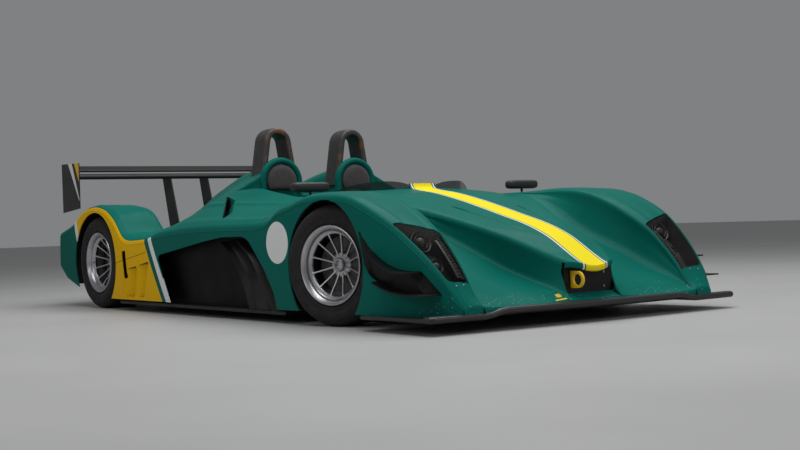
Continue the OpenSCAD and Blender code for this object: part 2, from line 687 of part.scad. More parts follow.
// Tub with the open cockpit, and what is in it
tub_half = 520;
tub_wall = 16;
tub_floor = ride_h + floor_t + tub_wall;
tub_back_gap = 4;
tub_back_top = 600;
tub_back_x = at_x(cockpit_back) - tub_back_gap;
seat_margin = 62;
seat_mid = (at_y(tub_half) - tub_wall) / 2;
seat_half = seat_mid - seat_margin;
footwell_y = 300;
footwell_front = 190;
footwell_back = -430;
footwell_top = 425;
tub_side_top = [570, 585];
module tub() {
    color([0.06, 0.06, 0.06]) {
        flat_plate(placed([[footwell_front, footwell_y], [footwell_back, footwell_y], [footwell_back, tub_half],
            [cockpit_back - tub_back_gap, tub_half]]), ride_h + floor_t, tub_floor);
        both_sides() {
            side_plate([[at_x(footwell_back), tub_floor - 1], [tub_back_x, tub_floor - 1],
                [tub_back_x, at_z(tub_side_top[1])], [at_x(footwell_back), at_z(tub_side_top[0])]],
                at_y(tub_half) - tub_wall, at_y(tub_half));
            side_plate([[at_x(footwell_front), tub_floor - 1], [at_x(footwell_back), tub_floor - 1],
                [at_x(footwell_back), at_z(footwell_top)], [at_x(footwell_front), at_z(footwell_top)]],
                at_y(footwell_y) - tub_wall, at_y(footwell_y));
        }
        translate([at_x(footwell_front) - tub_wall, -at_y(footwell_y), tub_floor - 1])
            cube([tub_wall, 2 * at_y(footwell_y), at_z(footwell_top) - tub_floor + 1]);
        translate([tub_back_x - tub_wall, -at_y(tub_half), ride_h + floor_t])
            cube([tub_wall, 2 * at_y(tub_half), at_z(tub_back_top) - ride_h - floor_t]);
    }
}
// A seat from the side, as [station, height] from its foot at the back
seat_back = [[-1370, 560], [-1330, 560], [-1250, 150], [-860, 120]];
seat_foot = [-860, -1330];
module seat() {
    color([0.1, 0.1, 0.11]) for (side = [-1, 1]) translate([0, side * seat_mid, 0])
        side_plate(concat([for (s = seat_foot) [at_x(s), tub_floor + run_gap]],
            [for (p = seat_back) [at_x(p[0]), at_z(p[1])]]), -seat_half, seat_half);
}
// Dash from the side, as [station, height], and the line of its face, drawn longer
dash_profile = [[-480, 580], [-520, 580], [-560, 450], [-540, 445]];
dash_face = [[-508, 619], [-576, 398]];
dash_lead = -400;
module dash_solid() {
    wide = at_y(tub_half) - tub_wall - run_gap;
    middle_plate(dash_profile, wide);
}
// Everything ahead of the dash's face
module ahead_of_dash() {
    lead = [[dash_lead, dash_face[1][1]], [dash_lead, dash_face[0][1]]];
    middle_plate(concat(dash_face, lead), at_y(tub_half));
}
module dash() { color([0.05, 0.05, 0.05]) dash_solid(); }
wheel_centre = [-700, 515];
wheel_r = 125;
module steering_wheel() {
    color([0.05, 0.05, 0.05]) difference() {
        translate([at_x(wheel_centre[0]), -seat_mid, at_z(wheel_centre[1])]) rotate([0, -65, 0]) {
            rotate_extrude() translate([wheel_r, 0]) circle(12, $fn = 24);
            cylinder(r = 30, h = 14, center = true);
            for (a = [0, 120, 240]) rotate(a + 90) translate([20, -10, -4]) cube([wheel_r - 25, 20, 8]);
            translate([0, 0, -175]) cylinder(r = 14, h = 175);
        }
        translate([-run_gap, 0, 0]) ahead_of_dash();
    }
}
screen_t = 5;
screen_h = 46;
screen_in = 70;
screen_out = 430;
screen_steps = 14;
function cowl_z(s, y) = let (p = front_section(s)) lookup(y, [for (i = [0 : 3]) p[i]]);
// Station of the cockpit's front edge at a half width
function front_edge(y) = let (d = max(y - cockpit_shoulder, 0), r = cockpit_corner)
    cockpit_front - r + (d < r * 0.7 ? sqrt(r * r - d * d) : r * 0.71 - (d - r * 0.7) * 0.9);
function screen_rise(y) = 3 + screen_h * sqrt(sin(180 * (y - screen_in) / (screen_out - screen_in)));
module windscreen() {
    step = (screen_out - screen_in) / screen_steps;
    color([0.12, 0.14, 0.14, 0.5]) both_sides() for (i = [0 : screen_steps - 1])
        hull() for (y = [screen_in + i * step, screen_in + (i + 1) * step]) {
            st = front_edge(y);
            translate([at_x(st), at_y(y), cowl_z(st, at_y(y)) + seat_gap]) cylinder(r = screen_t / 2,
                h = screen_rise(y), $fn = 8);
        }
}
mirror_place = [-393, 681, 646];
mirror_size = [70, 225, 46];
mirror_end = 25;
stalk_r = 8;
stalk_gap = 1.8;
module mirrors() {
    color([0.06, 0.06, 0.06]) both_sides() {
        translate([at_x(mirror_place[0]), at_y(mirror_place[1]), at_z(mirror_place[2])]) {
            hull() for (side = [-1, 1]) translate([0, side * (mirror_size[1] / 2 - mirror_end), 0])
                scale([mirror_size[0] / mirror_size[2], 1, 1]) sphere(d = mirror_size[2], $fn = 24);
        }
        stalk_x = at_x(mirror_place[0]);
        stalk_y = at_y(mirror_place[1]);
        rod([stalk_x, stalk_y, fender_z(mirror_place[0], stalk_y) + stalk_gap],
            [stalk_x, stalk_y, at_z(mirror_place[2])], stalk_r);
    }
}

// Engine and gearbox, as plain masses from the tub's back to behind the rear axle
engine_size = [520, 460, 420];
engine_gap = 58;
engine_back_x = tub_back_x - tub_wall - engine_gap - engine_size[0];
// Reach of the suspension arms' mounts ahead of and behind an axle
arm_spread = 150;
gearbox_tail = 12;
gearbox_back_x = rear_x - arm_spread - gearbox_tail;
gearbox_w = 260;
gearbox_h = 260;
gearbox_lift = 60;
module engine() {
    color([0.3, 0.3, 0.32]) translate([engine_back_x, -engine_size[1] / 2, ride_h + floor_t + run_gap])
        cube(engine_size);
}
module gearbox() {
    color([0.35, 0.35, 0.36]) translate([gearbox_back_x, -gearbox_w / 2, ride_h + floor_t + gearbox_lift])
        cube([engine_back_x - gearbox_back_x - run_gap, gearbox_w, gearbox_h]);
}

// Suspension arms to the uprights
kingpin_y = flange_y - kingpin_in;
arm_r = 12;
// Inner end of a leaning arm, so that its round end just clears the wall
function arm_end(wall_y, tip_y) = wall_y + run_gap + arm_r * arm_spread / norm([arm_spread, tip_y - wall_y]);
rear_upright_y = flange_y - rear_rim_w - 2 * flange_t + 60;
front_mount_y = arm_end(at_y(footwell_y), kingpin_y);
rear_mount_y = arm_end(gearbox_w / 2, rear_upright_y - 20);
module wishbone(x, tip_y, z, mount_y, eye_r) {
    difference() {
        union() {
            for (side = [-1, 1]) rod([x, tip_y, z], [x + side * arm_spread, mount_y, z + 8], arm_r);
            translate([x, tip_y, z - 11]) cylinder(r = eye_r + arm_r, h = 22);
        }
        translate([x, tip_y, z - 20]) cylinder(r = eye_r, h = 40);
    }
}
arm_lift = upright_h / 2 + 18;
module front_suspension() {
    color([0.12, 0.12, 0.13]) both_sides() for (level = [-1, 1])
        wishbone(front_x, kingpin_y, axle_z + level * arm_lift, front_mount_y, kingpin_r + run_gap);
}
// Rear upright as [length, width, height], and how far its spindle reaches into the hub
rear_upright = [90, 50, 210];
rear_arm_lift = 75;
spindle_reach = 20;
module rear_suspension() {
    face = rear_upright_y + 10;
    color([0.12, 0.12, 0.13]) both_sides() {
        for (level = [-1, 1]) for (side = [-1, 1])
            rod([rear_x, rear_upright_y - 20, axle_z + level * rear_arm_lift],
                [rear_x + side * arm_spread, rear_mount_y, axle_z + level * rear_arm_lift], arm_r);
        translate([rear_x - rear_upright[0] / 2, face - rear_upright[1], axle_z - rear_upright[2] / 2])
            cube(rear_upright);
        translate([rear_x, face, axle_z]) rotate([-90, 0, 0])
            cylinder(r = spindle_r, h = rear_hub_face - face + spindle_reach);
    }
}

// Wheels: a is measured outwards from the rim's middle plane
bead_gap = 0.4;
hub_r = 58;
hub_t = 24;
hub_in = 5;
nut_r = 32;
nut_t = 14;
function tyre_profile(w, rim_w) = let (
    b = rim_w / 2 - bead_gap,
    r = rim_d / 2 + bead_gap,
    top = tyre_d / 2)
    [[r, -b], [r + flange_h + 2, -b], [r + flange_h + 8, -b - 8], [r + 58, -w / 2], [top - 26, -w / 2 + 4],
    [top - 8, -w / 2 + 18], [top, -w / 2 + 42], [top, w / 2 - 42], [top - 8, w / 2 - 18], [top - 26, w / 2 - 4],
    [r + 58, w / 2], [r + flange_h + 8, b + 8], [r + flange_h + 2, b], [r, b]];
module tyre(w, rim_w) {
    color([0.06, 0.06, 0.06]) rotate([-90, 0, 0]) rotate_extrude($fn = 96) polygon(tyre_profile(w, rim_w));
}
function face_a(rim_w) = rim_w / 2 + flange_t;
module rim(rim_w) {
    r = rim_d / 2;
    face = face_a(rim_w);
    dish = face - spoke_dish;
    color([0.6, 0.6, 0.62]) rotate([-90, 0, 0]) difference() {
        union() {
            rotate_extrude($fn = 96) polygon([[r - barrel_t, -face], [r + flange_h, -face],
                [r + flange_h, -rim_w / 2], [r, -rim_w / 2], [r, rim_w / 2], [r + flange_h, rim_w / 2],
                [r + flange_h, face], [r + flange_h - 6, face], [r - barrel_t, face - 12],
                [r - barrel_t, dish + 4], [spoke_r, dish - 2], [spoke_r - 6, dish - 12],
                [spoke_r - 2, dish - 18], [r - barrel_t, dish - 30]]);
            translate([0, 0, hub_in]) cylinder(r = hub_r, h = hub_t);
            translate([0, 0, hub_in + hub_t - 1]) cylinder(r = nut_r, h = nut_t + 1, $fn = 48);
            for (i = [0 : spokes - 1])
                rotate(i * 360 / spokes + 15) translate([0, spoke_w / 2, 0]) rotate([90, 0, 0])
                    linear_extrude(spoke_w) polygon([[hub_r - 8, hub_in + 12], [hub_r - 8, hub_in + hub_t - 2],
                        [spoke_r + 4, dish - 4], [spoke_r + 4, dish - 16]]);
        }
        translate([0, 0, hub_in - 1]) cylinder(r = spindle_r + run_gap, h = 21 + run_gap);
    }
}
disc_t = 12;
module brake_disc() {
    color([0.35, 0.34, 0.34]) rotate([-90, 0, 0]) translate([0, 0, hub_in]) difference() {
        cylinder(r = disc_d / 2, h = disc_t);
        translate([0, 0, -1]) cylinder(r = hub_r, h = disc_t + 2);
    }
}
rear_hub_face = flange_y - face_a(rear_rim_w) + hub_in;
// The front corner turns about its kingpin; its wheel's middle plane lies outboard of it
module front_corner(side) {
    mirror([0, side < 0 ? 1 : 0, 0]) translate([front_x, kingpin_y, axle_z]) rotate(side * steer_rest)
        translate([0, kingpin_in - face_a(front_rim_w), 0]) children();
}
module rear_corner(side) {
    mirror([0, side < 0 ? 1 : 0, 0]) translate([rear_x, flange_y - face_a(rear_rim_w), axle_z]) children();
}
// Upright with its kingpin stubs and hub spindle, in the wheel's own frame
stub_h = 32;
upright_l = 64;
upright_w = 62;
steer_arm = [79, 24, 28];
module upright() {
    pin_a = face_a(front_rim_w) - kingpin_in;
    color([0.45, 0.45, 0.46]) {
        translate([-upright_l / 2, -upright_w, -upright_h / 2]) cube([upright_l, upright_w - 1, upright_h]);
        translate([0, pin_a, -upright_h / 2 - stub_h]) cylinder(r = kingpin_r, h = upright_h + 2 * stub_h);
        translate([0, -1, 0]) rotate([-90, 0, 0]) cylinder(r = spindle_r, h = 1 + hub_in + 19);
        translate([-upright_l / 2 - steer_arm[0] + 1, 12 - upright_w, -steer_arm[2] / 2]) cube(steer_arm);
    }
}
module upright_front_left() { front_corner(1) upright(); }
module upright_front_right() { front_corner(-1) upright(); }
module tyre_front_left() { front_corner(1) tyre(front_tyre_w, front_rim_w); }
module tyre_front_right() { front_corner(-1) tyre(front_tyre_w, front_rim_w); }
module tyre_rear_left() { rear_corner(1) tyre(rear_tyre_w, rear_rim_w); }
module tyre_rear_right() { rear_corner(-1) tyre(rear_tyre_w, rear_rim_w); }
module rim_front_left() { front_corner(1) rim(front_rim_w); }
module rim_front_right() { front_corner(-1) rim(front_rim_w); }
module rim_rear_left() { rear_corner(1) rim(rear_rim_w); }
module rim_rear_right() { rear_corner(-1) rim(rear_rim_w); }
module disc_front_left() { front_corner(1) brake_disc(); }
module disc_front_right() { front_corner(-1) brake_disc(); }
module disc_rear_left() { rear_corner(1) brake_disc(); }
module disc_rear_right() { rear_corner(-1) brake_disc(); }

front_body();
lamp_bays();
lamp_lenses();
nose_panel();
tow_eye();
canards();
splitter();
floor_tray();
tub();
side_pod_left();
side_pod_right();
side_panels();
side_vanes();
engine_cover();
rear_wing_left();
rear_wing_right();
tail_panel();
hoops();
headrests();
wing_main();
wing_flap();
endplates();
wing_pylons();
seat();
dash();
steering_wheel();
windscreen();
mirrors();
engine();
gearbox();
front_suspension();
rear_suspension();
upright_front_left();
upright_front_right();
rim_front_left();
rim_front_right();
rim_rear_left();
rim_rear_right();
tyre_front_left();
tyre_front_right();
tyre_rear_left();
tyre_rear_right();
disc_front_left();
disc_front_right();
disc_rear_left();
disc_rear_right();
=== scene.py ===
"""Looks of an open-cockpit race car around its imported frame: painted body, livery, lamps and wheels."""
import json
import math

import bmesh
import bpy
import numpy as np
from mathutils import Matrix, Vector


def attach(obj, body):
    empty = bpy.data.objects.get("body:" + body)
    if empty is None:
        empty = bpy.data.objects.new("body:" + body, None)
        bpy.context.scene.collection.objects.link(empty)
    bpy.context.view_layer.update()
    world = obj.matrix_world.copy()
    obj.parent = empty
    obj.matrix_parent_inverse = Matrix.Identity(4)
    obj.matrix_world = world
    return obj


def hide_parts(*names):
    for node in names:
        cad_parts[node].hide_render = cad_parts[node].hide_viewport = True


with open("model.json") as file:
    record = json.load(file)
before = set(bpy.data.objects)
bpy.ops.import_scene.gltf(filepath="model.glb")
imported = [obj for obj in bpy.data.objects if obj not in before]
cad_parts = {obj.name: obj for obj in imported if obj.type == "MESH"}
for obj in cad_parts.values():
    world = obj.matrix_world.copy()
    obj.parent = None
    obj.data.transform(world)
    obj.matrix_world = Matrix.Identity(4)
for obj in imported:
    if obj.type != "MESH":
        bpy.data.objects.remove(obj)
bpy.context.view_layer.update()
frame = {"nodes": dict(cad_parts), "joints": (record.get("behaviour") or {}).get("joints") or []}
nodes = frame["nodes"]
joints = {j["name"]: j for j in frame["joints"]}

# Lengths below are millimetres; meshes are made in metres
MM = 0.001
FRONT_X = joints["steer_left"]["pos_m"][0] / MM
REAR_X = joints["spin_rear_left"]["pos_m"][0] / MM
AXLE_Z = joints["spin_rear_left"]["pos_m"][2] / MM

# Body lines as [station, value]: station 0 is the front axle, forward is positive
CROWN_Z = [[846, 245], [752, 303], [626, 378], [495, 430], [293, 485], [143, 525], [-4, 562], [-215, 606],
           [-327, 622], [-392, 634], [-560, 640]]
CHINE_Y = [[846, 110], [800, 144], [735, 177], [579, 234], [402, 281], [196, 335], [-54, 400], [-254, 450],
           [-560, 500]]
CHINE_Z = [[846, 258], [800, 277], [735, 305], [579, 370], [402, 431], [196, 490], [-54, 552], [-254, 588],
           [-392, 606], [-560, 612]]
FOOT_Y = [[846, 140], [796, 165], [644, 205], [516, 240], [396, 285], [196, 342], [-54, 415], [-254, 465],
          [-560, 515]]
FOOT_Z = [[846, 104], [796, 135], [644, 185], [516, 236], [396, 302], [196, 402], [96, 455], [-54, 532],
          [-254, 580], [-560, 604]]
WALL_Y = [[846, 640], [500, 610], [300, 570], [100, 558], [-100, 558], [-560, 556]]
WALL_Z = [[846, 104], [805, 115], [783, 130], [610, 196], [431, 278], [188, 376], [96, 425], [-4, 485],
          [-104, 535], [-254, 580], [-392, 598], [-560, 602]]
RIDGE_Y = [[846, 645], [727, 637], [582, 625], [371, 606], [146, 612], [-54, 616], [-254, 606], [-560, 575]]
RIDGE_Z = [[846, 106], [806, 129], [772, 181], [727, 245], [652, 328], [582, 392], [494, 450], [371, 517],
           [242, 566], [146, 590], [46, 603], [-54, 608], [-254, 604], [-560, 600]]
EDGE_Y = [[846, 745], [803, 775], [763, 787], [701, 806], [606, 832], [502, 855], [430, 866], [355, 873],
          [272, 877], [-560, 878], [-3087, 878]]
EDGE_Z = [[846, 106], [831, 127], [803, 178], [763, 236], [701, 302], [606, 386], [502, 463], [430, 502],
          [355, 536], [272, 568], [186, 588], [86, 597], [-4, 600], [-104, 597], [-204, 583], [-254, 568],
          [-404, 535], [-456, 504], [-525, 482], [-664, 476], [-1035, 476], [-1663, 450], [-1858, 420],
          [-2054, 414], [-2126, 424], [-2273, 543], [-2406, 605], [-2538, 622], [-2654, 612], [-2797, 565],
          [-2875, 523], [-3087, 468]]
RIM_Z = [[-560, 602], [-677, 606], [-898, 637], [-1123, 668], [-1382, 660], [-1700, 574], [-1862, 506],
         [-2008, 458], [-2160, 442], [-2370, 438], [-2614, 442], [-3087, 450]]
REAR_WALL_Z = [[-560, 590], [-1382, 620], [-1700, 528], [-1849, 470], [-1998, 447], [-2099, 440],
               [-2160, 444], [-2209, 494], [-2238, 532], [-2287, 574], [-2328, 592], [-2406, 606],
               [-2538, 614], [-2654, 600], [-2797, 556], [-2875, 520], [-3087, 464]]
REAR_WALL_Y = [[-560, 610], [-1700, 640], [-2069, 630], [-2190, 602], [-2300, 600], [-2797, 600],
               [-3087, 610]]
# How full the cover's outer slope is, at its foot and at its shoulder
FOOT_SHARE = [[-1382, 0.57], [-2000, 0.57], [-2500, 0.25], [-3087, 0.25]]
SHOULDER_SHARE = [[-1382, 0.8], [-1700, 0.8], [-2000, 0.6], [-2300, 0.5], [-3087, 0.5]]
VALLEY_Z = [[-1382, 640], [-1700, 636], [-2069, 592], [-2370, 525], [-2614, 466], [-3087, 452]]
SPINE_Z = [[-1382, 828], [-1650, 792], [-2069, 693], [-2370, 580], [-2614, 480], [-2760, 458], [-3087, 453]]
# Stations where the panels meet and end
NOSE_TIP, FRONT_END, POD_END, TAIL_END = 846, -560, -1700, -3087
COCKPIT_FRONT, COCKPIT_BACK = -392, -1382
SILL_Z = 66
INNER_Y = 560
HOOP_Y = 252
SKIN_T, SHEET_T = 6, 3
HOOP_X = float(FRONT_X - 1452)
HOOP_DEPTH = 130
# Flank: how far it swells past the edge, at its belly and its foot, and where the belly lies
BELLY_OUT, FOOT_OUT, BELLY_DROP, BELLY_SHARE = 6, 4, 60, 0.45
CREST_RISE, CREST_Y, CREST_SHARE = 12, 750, 0.45
# Engine cover's corners, across from the hoop's middle, and the fairing's inner wall
FAIRING_IN, FAIRING_STEP, FAIRING_SHOULDER, FAIRING_OUT = 122, 96, 62, 125
FAIRING_RISE, FAIRING_WALL = 4, 0.74
CORNER_STEPS = 6


def at(station):
    """Place along the car of a drawn station."""
    return FRONT_X + np.asarray(station, float)


def spot(s, y, z):
    """Point in the car's frame from a station, a place across and a height."""
    return [FRONT_X + float(s), float(y), float(z)]


def line(table, soften=18.0):
    """Smooth curve through a [station, value] table, as a function of station."""
    x, y = np.array(sorted(table), float).T
    h = np.diff(x)
    d = np.diff(y) / h
    slope = np.empty_like(y)
    slope[0], slope[-1] = d[0], d[-1]
    w1, w2 = 2 * h[1:] + h[:-1], h[1:] + 2 * h[:-1]
    same = d[:-1] * d[1:] > 1e-12
    safe = np.where(same, d[:-1], 1), np.where(same, d[1:], 1)
    slope[1:-1] = np.where(same, (w1 + w2) / (w1 / safe[0] + w2 / safe[1]), 0)
    pad = 4 * soften
    grid = np.arange(x[0] - pad, x[-1] + pad + 1, 2.0)
    i = np.clip(np.searchsorted(x, grid) - 1, 0, len(h) - 1)
    t = (grid - x[i]) / h[i]
    inside = (grid >= x[0]) & (grid <= x[-1])
    hermite = (y[i] * (1 + 2 * t) * (1 - t) ** 2 + slope[i] * h[i] * t * (1 - t) ** 2
               + y[i + 1] * t * t * (3 - 2 * t) + slope[i + 1] * h[i] * t * t * (t - 1))
    low = y[0] + slope[0] * (grid - x[0])
    high = y[-1] + slope[-1] * (grid - x[-1])
    value = np.where(inside, hermite, np.where(grid < x[0], low, high))
    reach = np.arange(-pad, pad + 1, 2.0)
    kernel = np.exp(-0.5 * (reach / soften) ** 2)
    value = np.convolve(np.pad(value, len(reach) // 2, "edge"), kernel / kernel.sum(), "valid")
    return lambda s: np.interp(s, grid, value)


crown_z, chine_y, chine_z = line(CROWN_Z), line(CHINE_Y), line(CHINE_Z)
foot_y, foot_z, wall_y, wall_z = line(FOOT_Y), line(FOOT_Z), line(WALL_Y), line(WALL_Z)
ridge_y, ridge_z, edge_y, edge_z = line(RIDGE_Y), line(RIDGE_Z), line(EDGE_Y), line(EDGE_Z)
rim_z, rear_wall_y, rear_wall_z = line(RIM_Z), line(REAR_WALL_Y), line(REAR_WALL_Z)
valley_z, spine_z = line(VALLEY_Z), line(SPINE_Z)
foot_share, shoulder_share = line(FOOT_SHARE), line(SHOULDER_SHARE)


def stack(*pairs):
    """Control points of sections: each pair gives [half width, height] for all stations."""
    rows = [np.broadcast_arrays(np.asarray(a, float), np.asarray(b, float)) for a, b in pairs]
    count = max(r[0].size for r in rows)
    return np.stack([np.stack([np.broadcast_to(v, count) for v in r], -1) for r in rows], 1)


def flank(s):
    e, z = edge_y(s), edge_z(s)
    belly = np.maximum(z - BELLY_DROP, SILL_Z + BELLY_SHARE * (z - SILL_Z))
    return (e + BELLY_OUT, belly), (e + FOOT_OUT, SILL_Z)


def front_points(s):
    crest = (ridge_y(s) + edge_y(s)) / 2, (ridge_z(s) + edge_z(s)) / 2 + CREST_RISE
    return stack((0 * s, crown_z(s)), (chine_y(s), chine_z(s)), (foot_y(s), foot_z(s)),
                 (wall_y(s), wall_z(s)), (ridge_y(s), ridge_z(s)), crest, (edge_y(s), edge_z(s)), *flank(s))


def side_points(s):
    wall, edge = rear_wall_z(s), edge_z(s)
    crest = CREST_SHARE * wall + (1 - CREST_SHARE) * edge + CREST_RISE
    return stack((0 * s + INNER_Y, rim_z(s)), (rear_wall_y(s), wall), (0 * s + CREST_Y, crest),
                 (edge_y(s), edge), *flank(s))


def cover_points(s):
    top, low, rim = spine_z(s), valley_z(s), rim_z(s)
    foot = rim + foot_share(s) * (top - rim)
    shoulder = foot + shoulder_share(s) * (top - foot)
    middle = 0 * s + HOOP_Y
    return stack((0 * s, low), (middle - FAIRING_IN, low + FAIRING_RISE),
                 (middle - FAIRING_STEP, low + FAIRING_WALL * (top - low)), (middle, top),
                 (middle + FAIRING_SHOULDER, shoulder), (middle + FAIRING_OUT, foot),
                 (0 * s + INNER_Y - 1, rim))


def rounded(points, radii, flats, bulges, steps=CORNER_STEPS):
    """Sections with rounded corners and slightly bowed flats, with as many points at each station."""
    out = []
    start = points[:, 0]
    last = points.shape[1] - 1
    for i in range(1, last + 1):
        corner = points[:, i]
        enter = corner
        if i < last:
            back, ahead = points[:, i - 1] - corner, points[:, i + 1] - corner
            back_len = np.linalg.norm(back, axis=1)[:, None] + 1e-9
            ahead_len = np.linalg.norm(ahead, axis=1)[:, None] + 1e-9
            trim = np.minimum(radii[i - 1], 0.48 * np.minimum(back_len, ahead_len))
            enter = corner + back / back_len * trim
            leave = corner + ahead / ahead_len * trim
        run = enter - start
        normal = np.stack([-run[:, 1], run[:, 0]], -1)
        normal /= np.linalg.norm(normal, axis=1)[:, None] + 1e-9
        for k in range(flats[i - 1]):
            t = k / flats[i - 1]
            out.append(start + run * t + normal * bulges[i - 1] * 4 * t * (1 - t))
        if i < last:
            for k in range(steps):
                t = k / steps
                out.append(enter * (1 - t) ** 2 + corner * 2 * t * (1 - t) + leave * t * t)
            start = leave
        else:
            out.append(enter)
    return np.stack(out, 1)


def section_grid(s, section):
    """Points in space of sections on the left half: station by column."""
    x = np.broadcast_to(at(s)[:, None], section.shape[:2])
    return np.concatenate([x[..., None], section], -1)


def whole(half):
    """Both halves of a grid that starts at the car's middle."""
    other = half[:, :0:-1] * [1, -1, 1]
    return np.concatenate([other, half], 1)


# Meshes
def grid_faces(rows, columns):
    i = np.arange(rows * columns).reshape(rows, columns)
    return np.stack([i[:-1, :-1], i[:-1, 1:], i[1:, 1:], i[1:, :-1]], -1).reshape(-1, 4)


def clip(points, faces, keep):
    """Cuts away what lies where keep is negative, along the line where it is zero."""
    value = keep(points)
    faces = [tuple(f) for f in faces]
    points = list(points)
    made = {}

    def crossing(a, b):
        key = (min(a, b), max(a, b))
        if key not in made:
            t = value[a] / (value[a] - value[b])
            made[key] = len(points)
            points.append(points[a] + (points[b] - points[a]) * t)
        return made[key]

    out = []
    for face in faces:
        signs = [value[v] >= 0 for v in face]
        if all(signs):
            out.append(face)
        elif any(signs):
            ring = []
            for k, a in enumerate(face):
                b = face[(k + 1) % len(face)]
                if value[a] >= 0:
                    ring.append(a)
                if (value[a] >= 0) != (value[b] >= 0):
                    ring.append(crossing(a, b))
            if len(ring) > 2:
                out.append(tuple(ring))
    return np.array(points), out


SMOOTH_ANGLE = 32
MERGE = 1e-5


def shade(obj, smooth_angle):
    """Shades smooth, apart from edges sharper than an angle."""
    obj.data.shade_smooth()
    obj.data.set_sharp_from_angle(angle=math.radians(smooth_angle))


def mesh_object(name, points, faces, smooth_angle=SMOOTH_ANGLE, kinds=None):
    """A new object from points in millimetres, with doubled points joined and loose ones left out."""
    mesh = bpy.data.meshes.new(name)
    mesh.from_pydata((np.asarray(points, float) * MM).tolist(), [], [tuple(map(int, f)) for f in faces])
    if kinds:
        mesh.polygons.foreach_set("material_index", kinds)
    obj = bpy.data.objects.new(name, mesh)
    bpy.context.scene.collection.objects.link(obj)
    bm = bmesh.new()
    bm.from_mesh(mesh)
    bmesh.ops.remove_doubles(bm, verts=bm.verts, dist=MERGE)
    bmesh.ops.delete(bm, geom=[v for v in bm.verts if not v.link_faces], context="VERTS")
    bm.to_mesh(mesh)
    bm.free()
    shade(obj, smooth_angle)
    return obj


def solid(name, parts, smooth_angle=SMOOTH_ANGLE, closed=True):
    """A new object from parts, each with the number of its material; closed ones are turned outwards."""
    points, faces = join([(p, f) for p, f, _ in parts])
    obj = mesh_object(name, points, faces, smooth_angle, [kind for _, f, kind in parts for _ in f])
    if closed:
        bm = bmesh.new()
        bm.from_mesh(obj.data)
        bmesh.ops.recalc_face_normals(bm, faces=bm.faces)
        bm.to_mesh(obj.data)
        bm.free()
    return obj


def thicken(obj, thickness):
    """Gives an open surface its panel thickness, inwards; the inside takes the second material."""
    mod = obj.modifiers.new("panel", "SOLIDIFY")
    mod.thickness = thickness * MM
    mod.offset = -1
    mod.material_offset = 1
    graph = bpy.context.evaluated_depsgraph_get()
    mesh = bpy.data.meshes.new_from_object(obj.evaluated_get(graph))
    obj.modifiers.clear()
    obj.data = mesh
    shade(obj, SMOOTH_ANGLE)


def curve(points, count):
    """Smooth line through points, at even steps from its start to its end."""
    p = np.asarray(points, float)
    p = np.concatenate([2 * p[:1] - p[1:2], p, 2 * p[-1:] - p[-2:-1]])
    u = np.linspace(0, len(p) - 3 - 1e-9, count)
    i = u.astype(int)
    t = (u - i)[:, None]
    a, b, c, d = p[i], p[i + 1], p[i + 2], p[i + 3]
    return 0.5 * (2 * b + (c - a) * t + (2 * a - 5 * b + 4 * c - d) * t ** 2
                  + (3 * b - a - 3 * c + d) * t ** 3)


def around(count):
    """Angles of a full turn at even steps."""
    return np.linspace(0, 2 * math.pi, count, endpoint=False)


def squared_ring(count, power):
    """Unit ring, squarer the smaller its power: how far across and how far up."""
    a = around(count)
    return [np.sign(v) * np.abs(v) ** power for v in (np.cos(a), np.sin(a))]


def normals(path):
    """Unit vectors to the left of a flat path."""
    run = np.gradient(path, axis=0)
    run /= np.linalg.norm(run, axis=1)[:, None]
    return np.stack([-run[:, 1], run[:, 0]], -1)


def tube(rings, caps=True):
    """Skin over rings of points that each close on themselves."""
    rings = np.asarray(rings, float)
    index = np.arange(rings.shape[0] * rings.shape[1]).reshape(rings.shape[:2])
    after = np.roll(index, -1, 1)
    faces = np.stack([index[:-1], after[:-1], after[1:], index[1:]], -1).reshape(-1, 4).tolist()
    if caps:
        faces += [index[0, ::-1].tolist(), index[-1].tolist()]
    return rings.reshape(-1, 3), faces


def lathe(profile, turns):
    """Turned part along Y: a closed profile of [radius, place along the axis]."""
    a = around(turns)
    rings = [np.stack([r * np.cos(a), np.full(turns, y), r * np.sin(a)], -1) for r, y in profile]
    return tube(rings + rings[:1], caps=False)


def pipe(path, across, radius, count=12):
    """Round tube along a path; across is a direction that is never along it."""
    path = np.asarray(path, float)
    ahead = np.gradient(path, axis=0)
    ahead /= np.linalg.norm(ahead, axis=1)[:, None]
    side = np.cross(ahead, np.asarray(across, float))
    side /= np.linalg.norm(side, axis=1)[:, None]
    up = np.cross(side, ahead)
    a = around(count)[None, :, None]
    radius = np.broadcast_to(np.asarray(radius, float), len(path))[:, None, None]
    return tube(path[:, None] + radius * (side[:, None] * np.cos(a) + up[:, None] * np.sin(a)))


def turned(part, place, axis):
    """Puts a part that was made along Y on an axis at a place."""
    out = Vector(axis).normalized()
    side = out.cross(Vector((0, 0, 1))).normalized()
    rows = np.array([side, out, side.cross(out)])
    return np.asarray(place, float) + np.asarray(part[0]) @ rows, part[1]


def patch(grid):
    """Points and faces of a grid of points."""
    grid = np.asarray(grid, float)
    return grid.reshape(-1, 3), grid_faces(*grid.shape[:2]).tolist()


def plate(outline, low, high):
    """Closed plate: an outline of [station, height] between two places across."""
    return tube([[spot(s, y, z) for s, z in outline] for y in (low, high)])


def box(s0, s1, z0, z1, y0, y1):
    """Closed box between two stations, heights and places across."""
    return plate([[s0, z0], [s1, z0], [s1, z1], [s0, z1]], y0, y1)


def join(parts):
    """Points and faces of several parts in one list each."""
    points, faces, shift = [], [], 0
    for p, f in parts:
        points.append(np.asarray(p, float))
        faces += [tuple(int(v) + shift for v in face) for face in f]
        shift += len(p)
    return np.concatenate(points), faces


def mirrored(part):
    p, f = part
    return np.asarray(p, float) * [1, -1, 1], [tuple(reversed(tuple(face))) for face in f]


def both(part):
    return join([part, mirrored(part)])


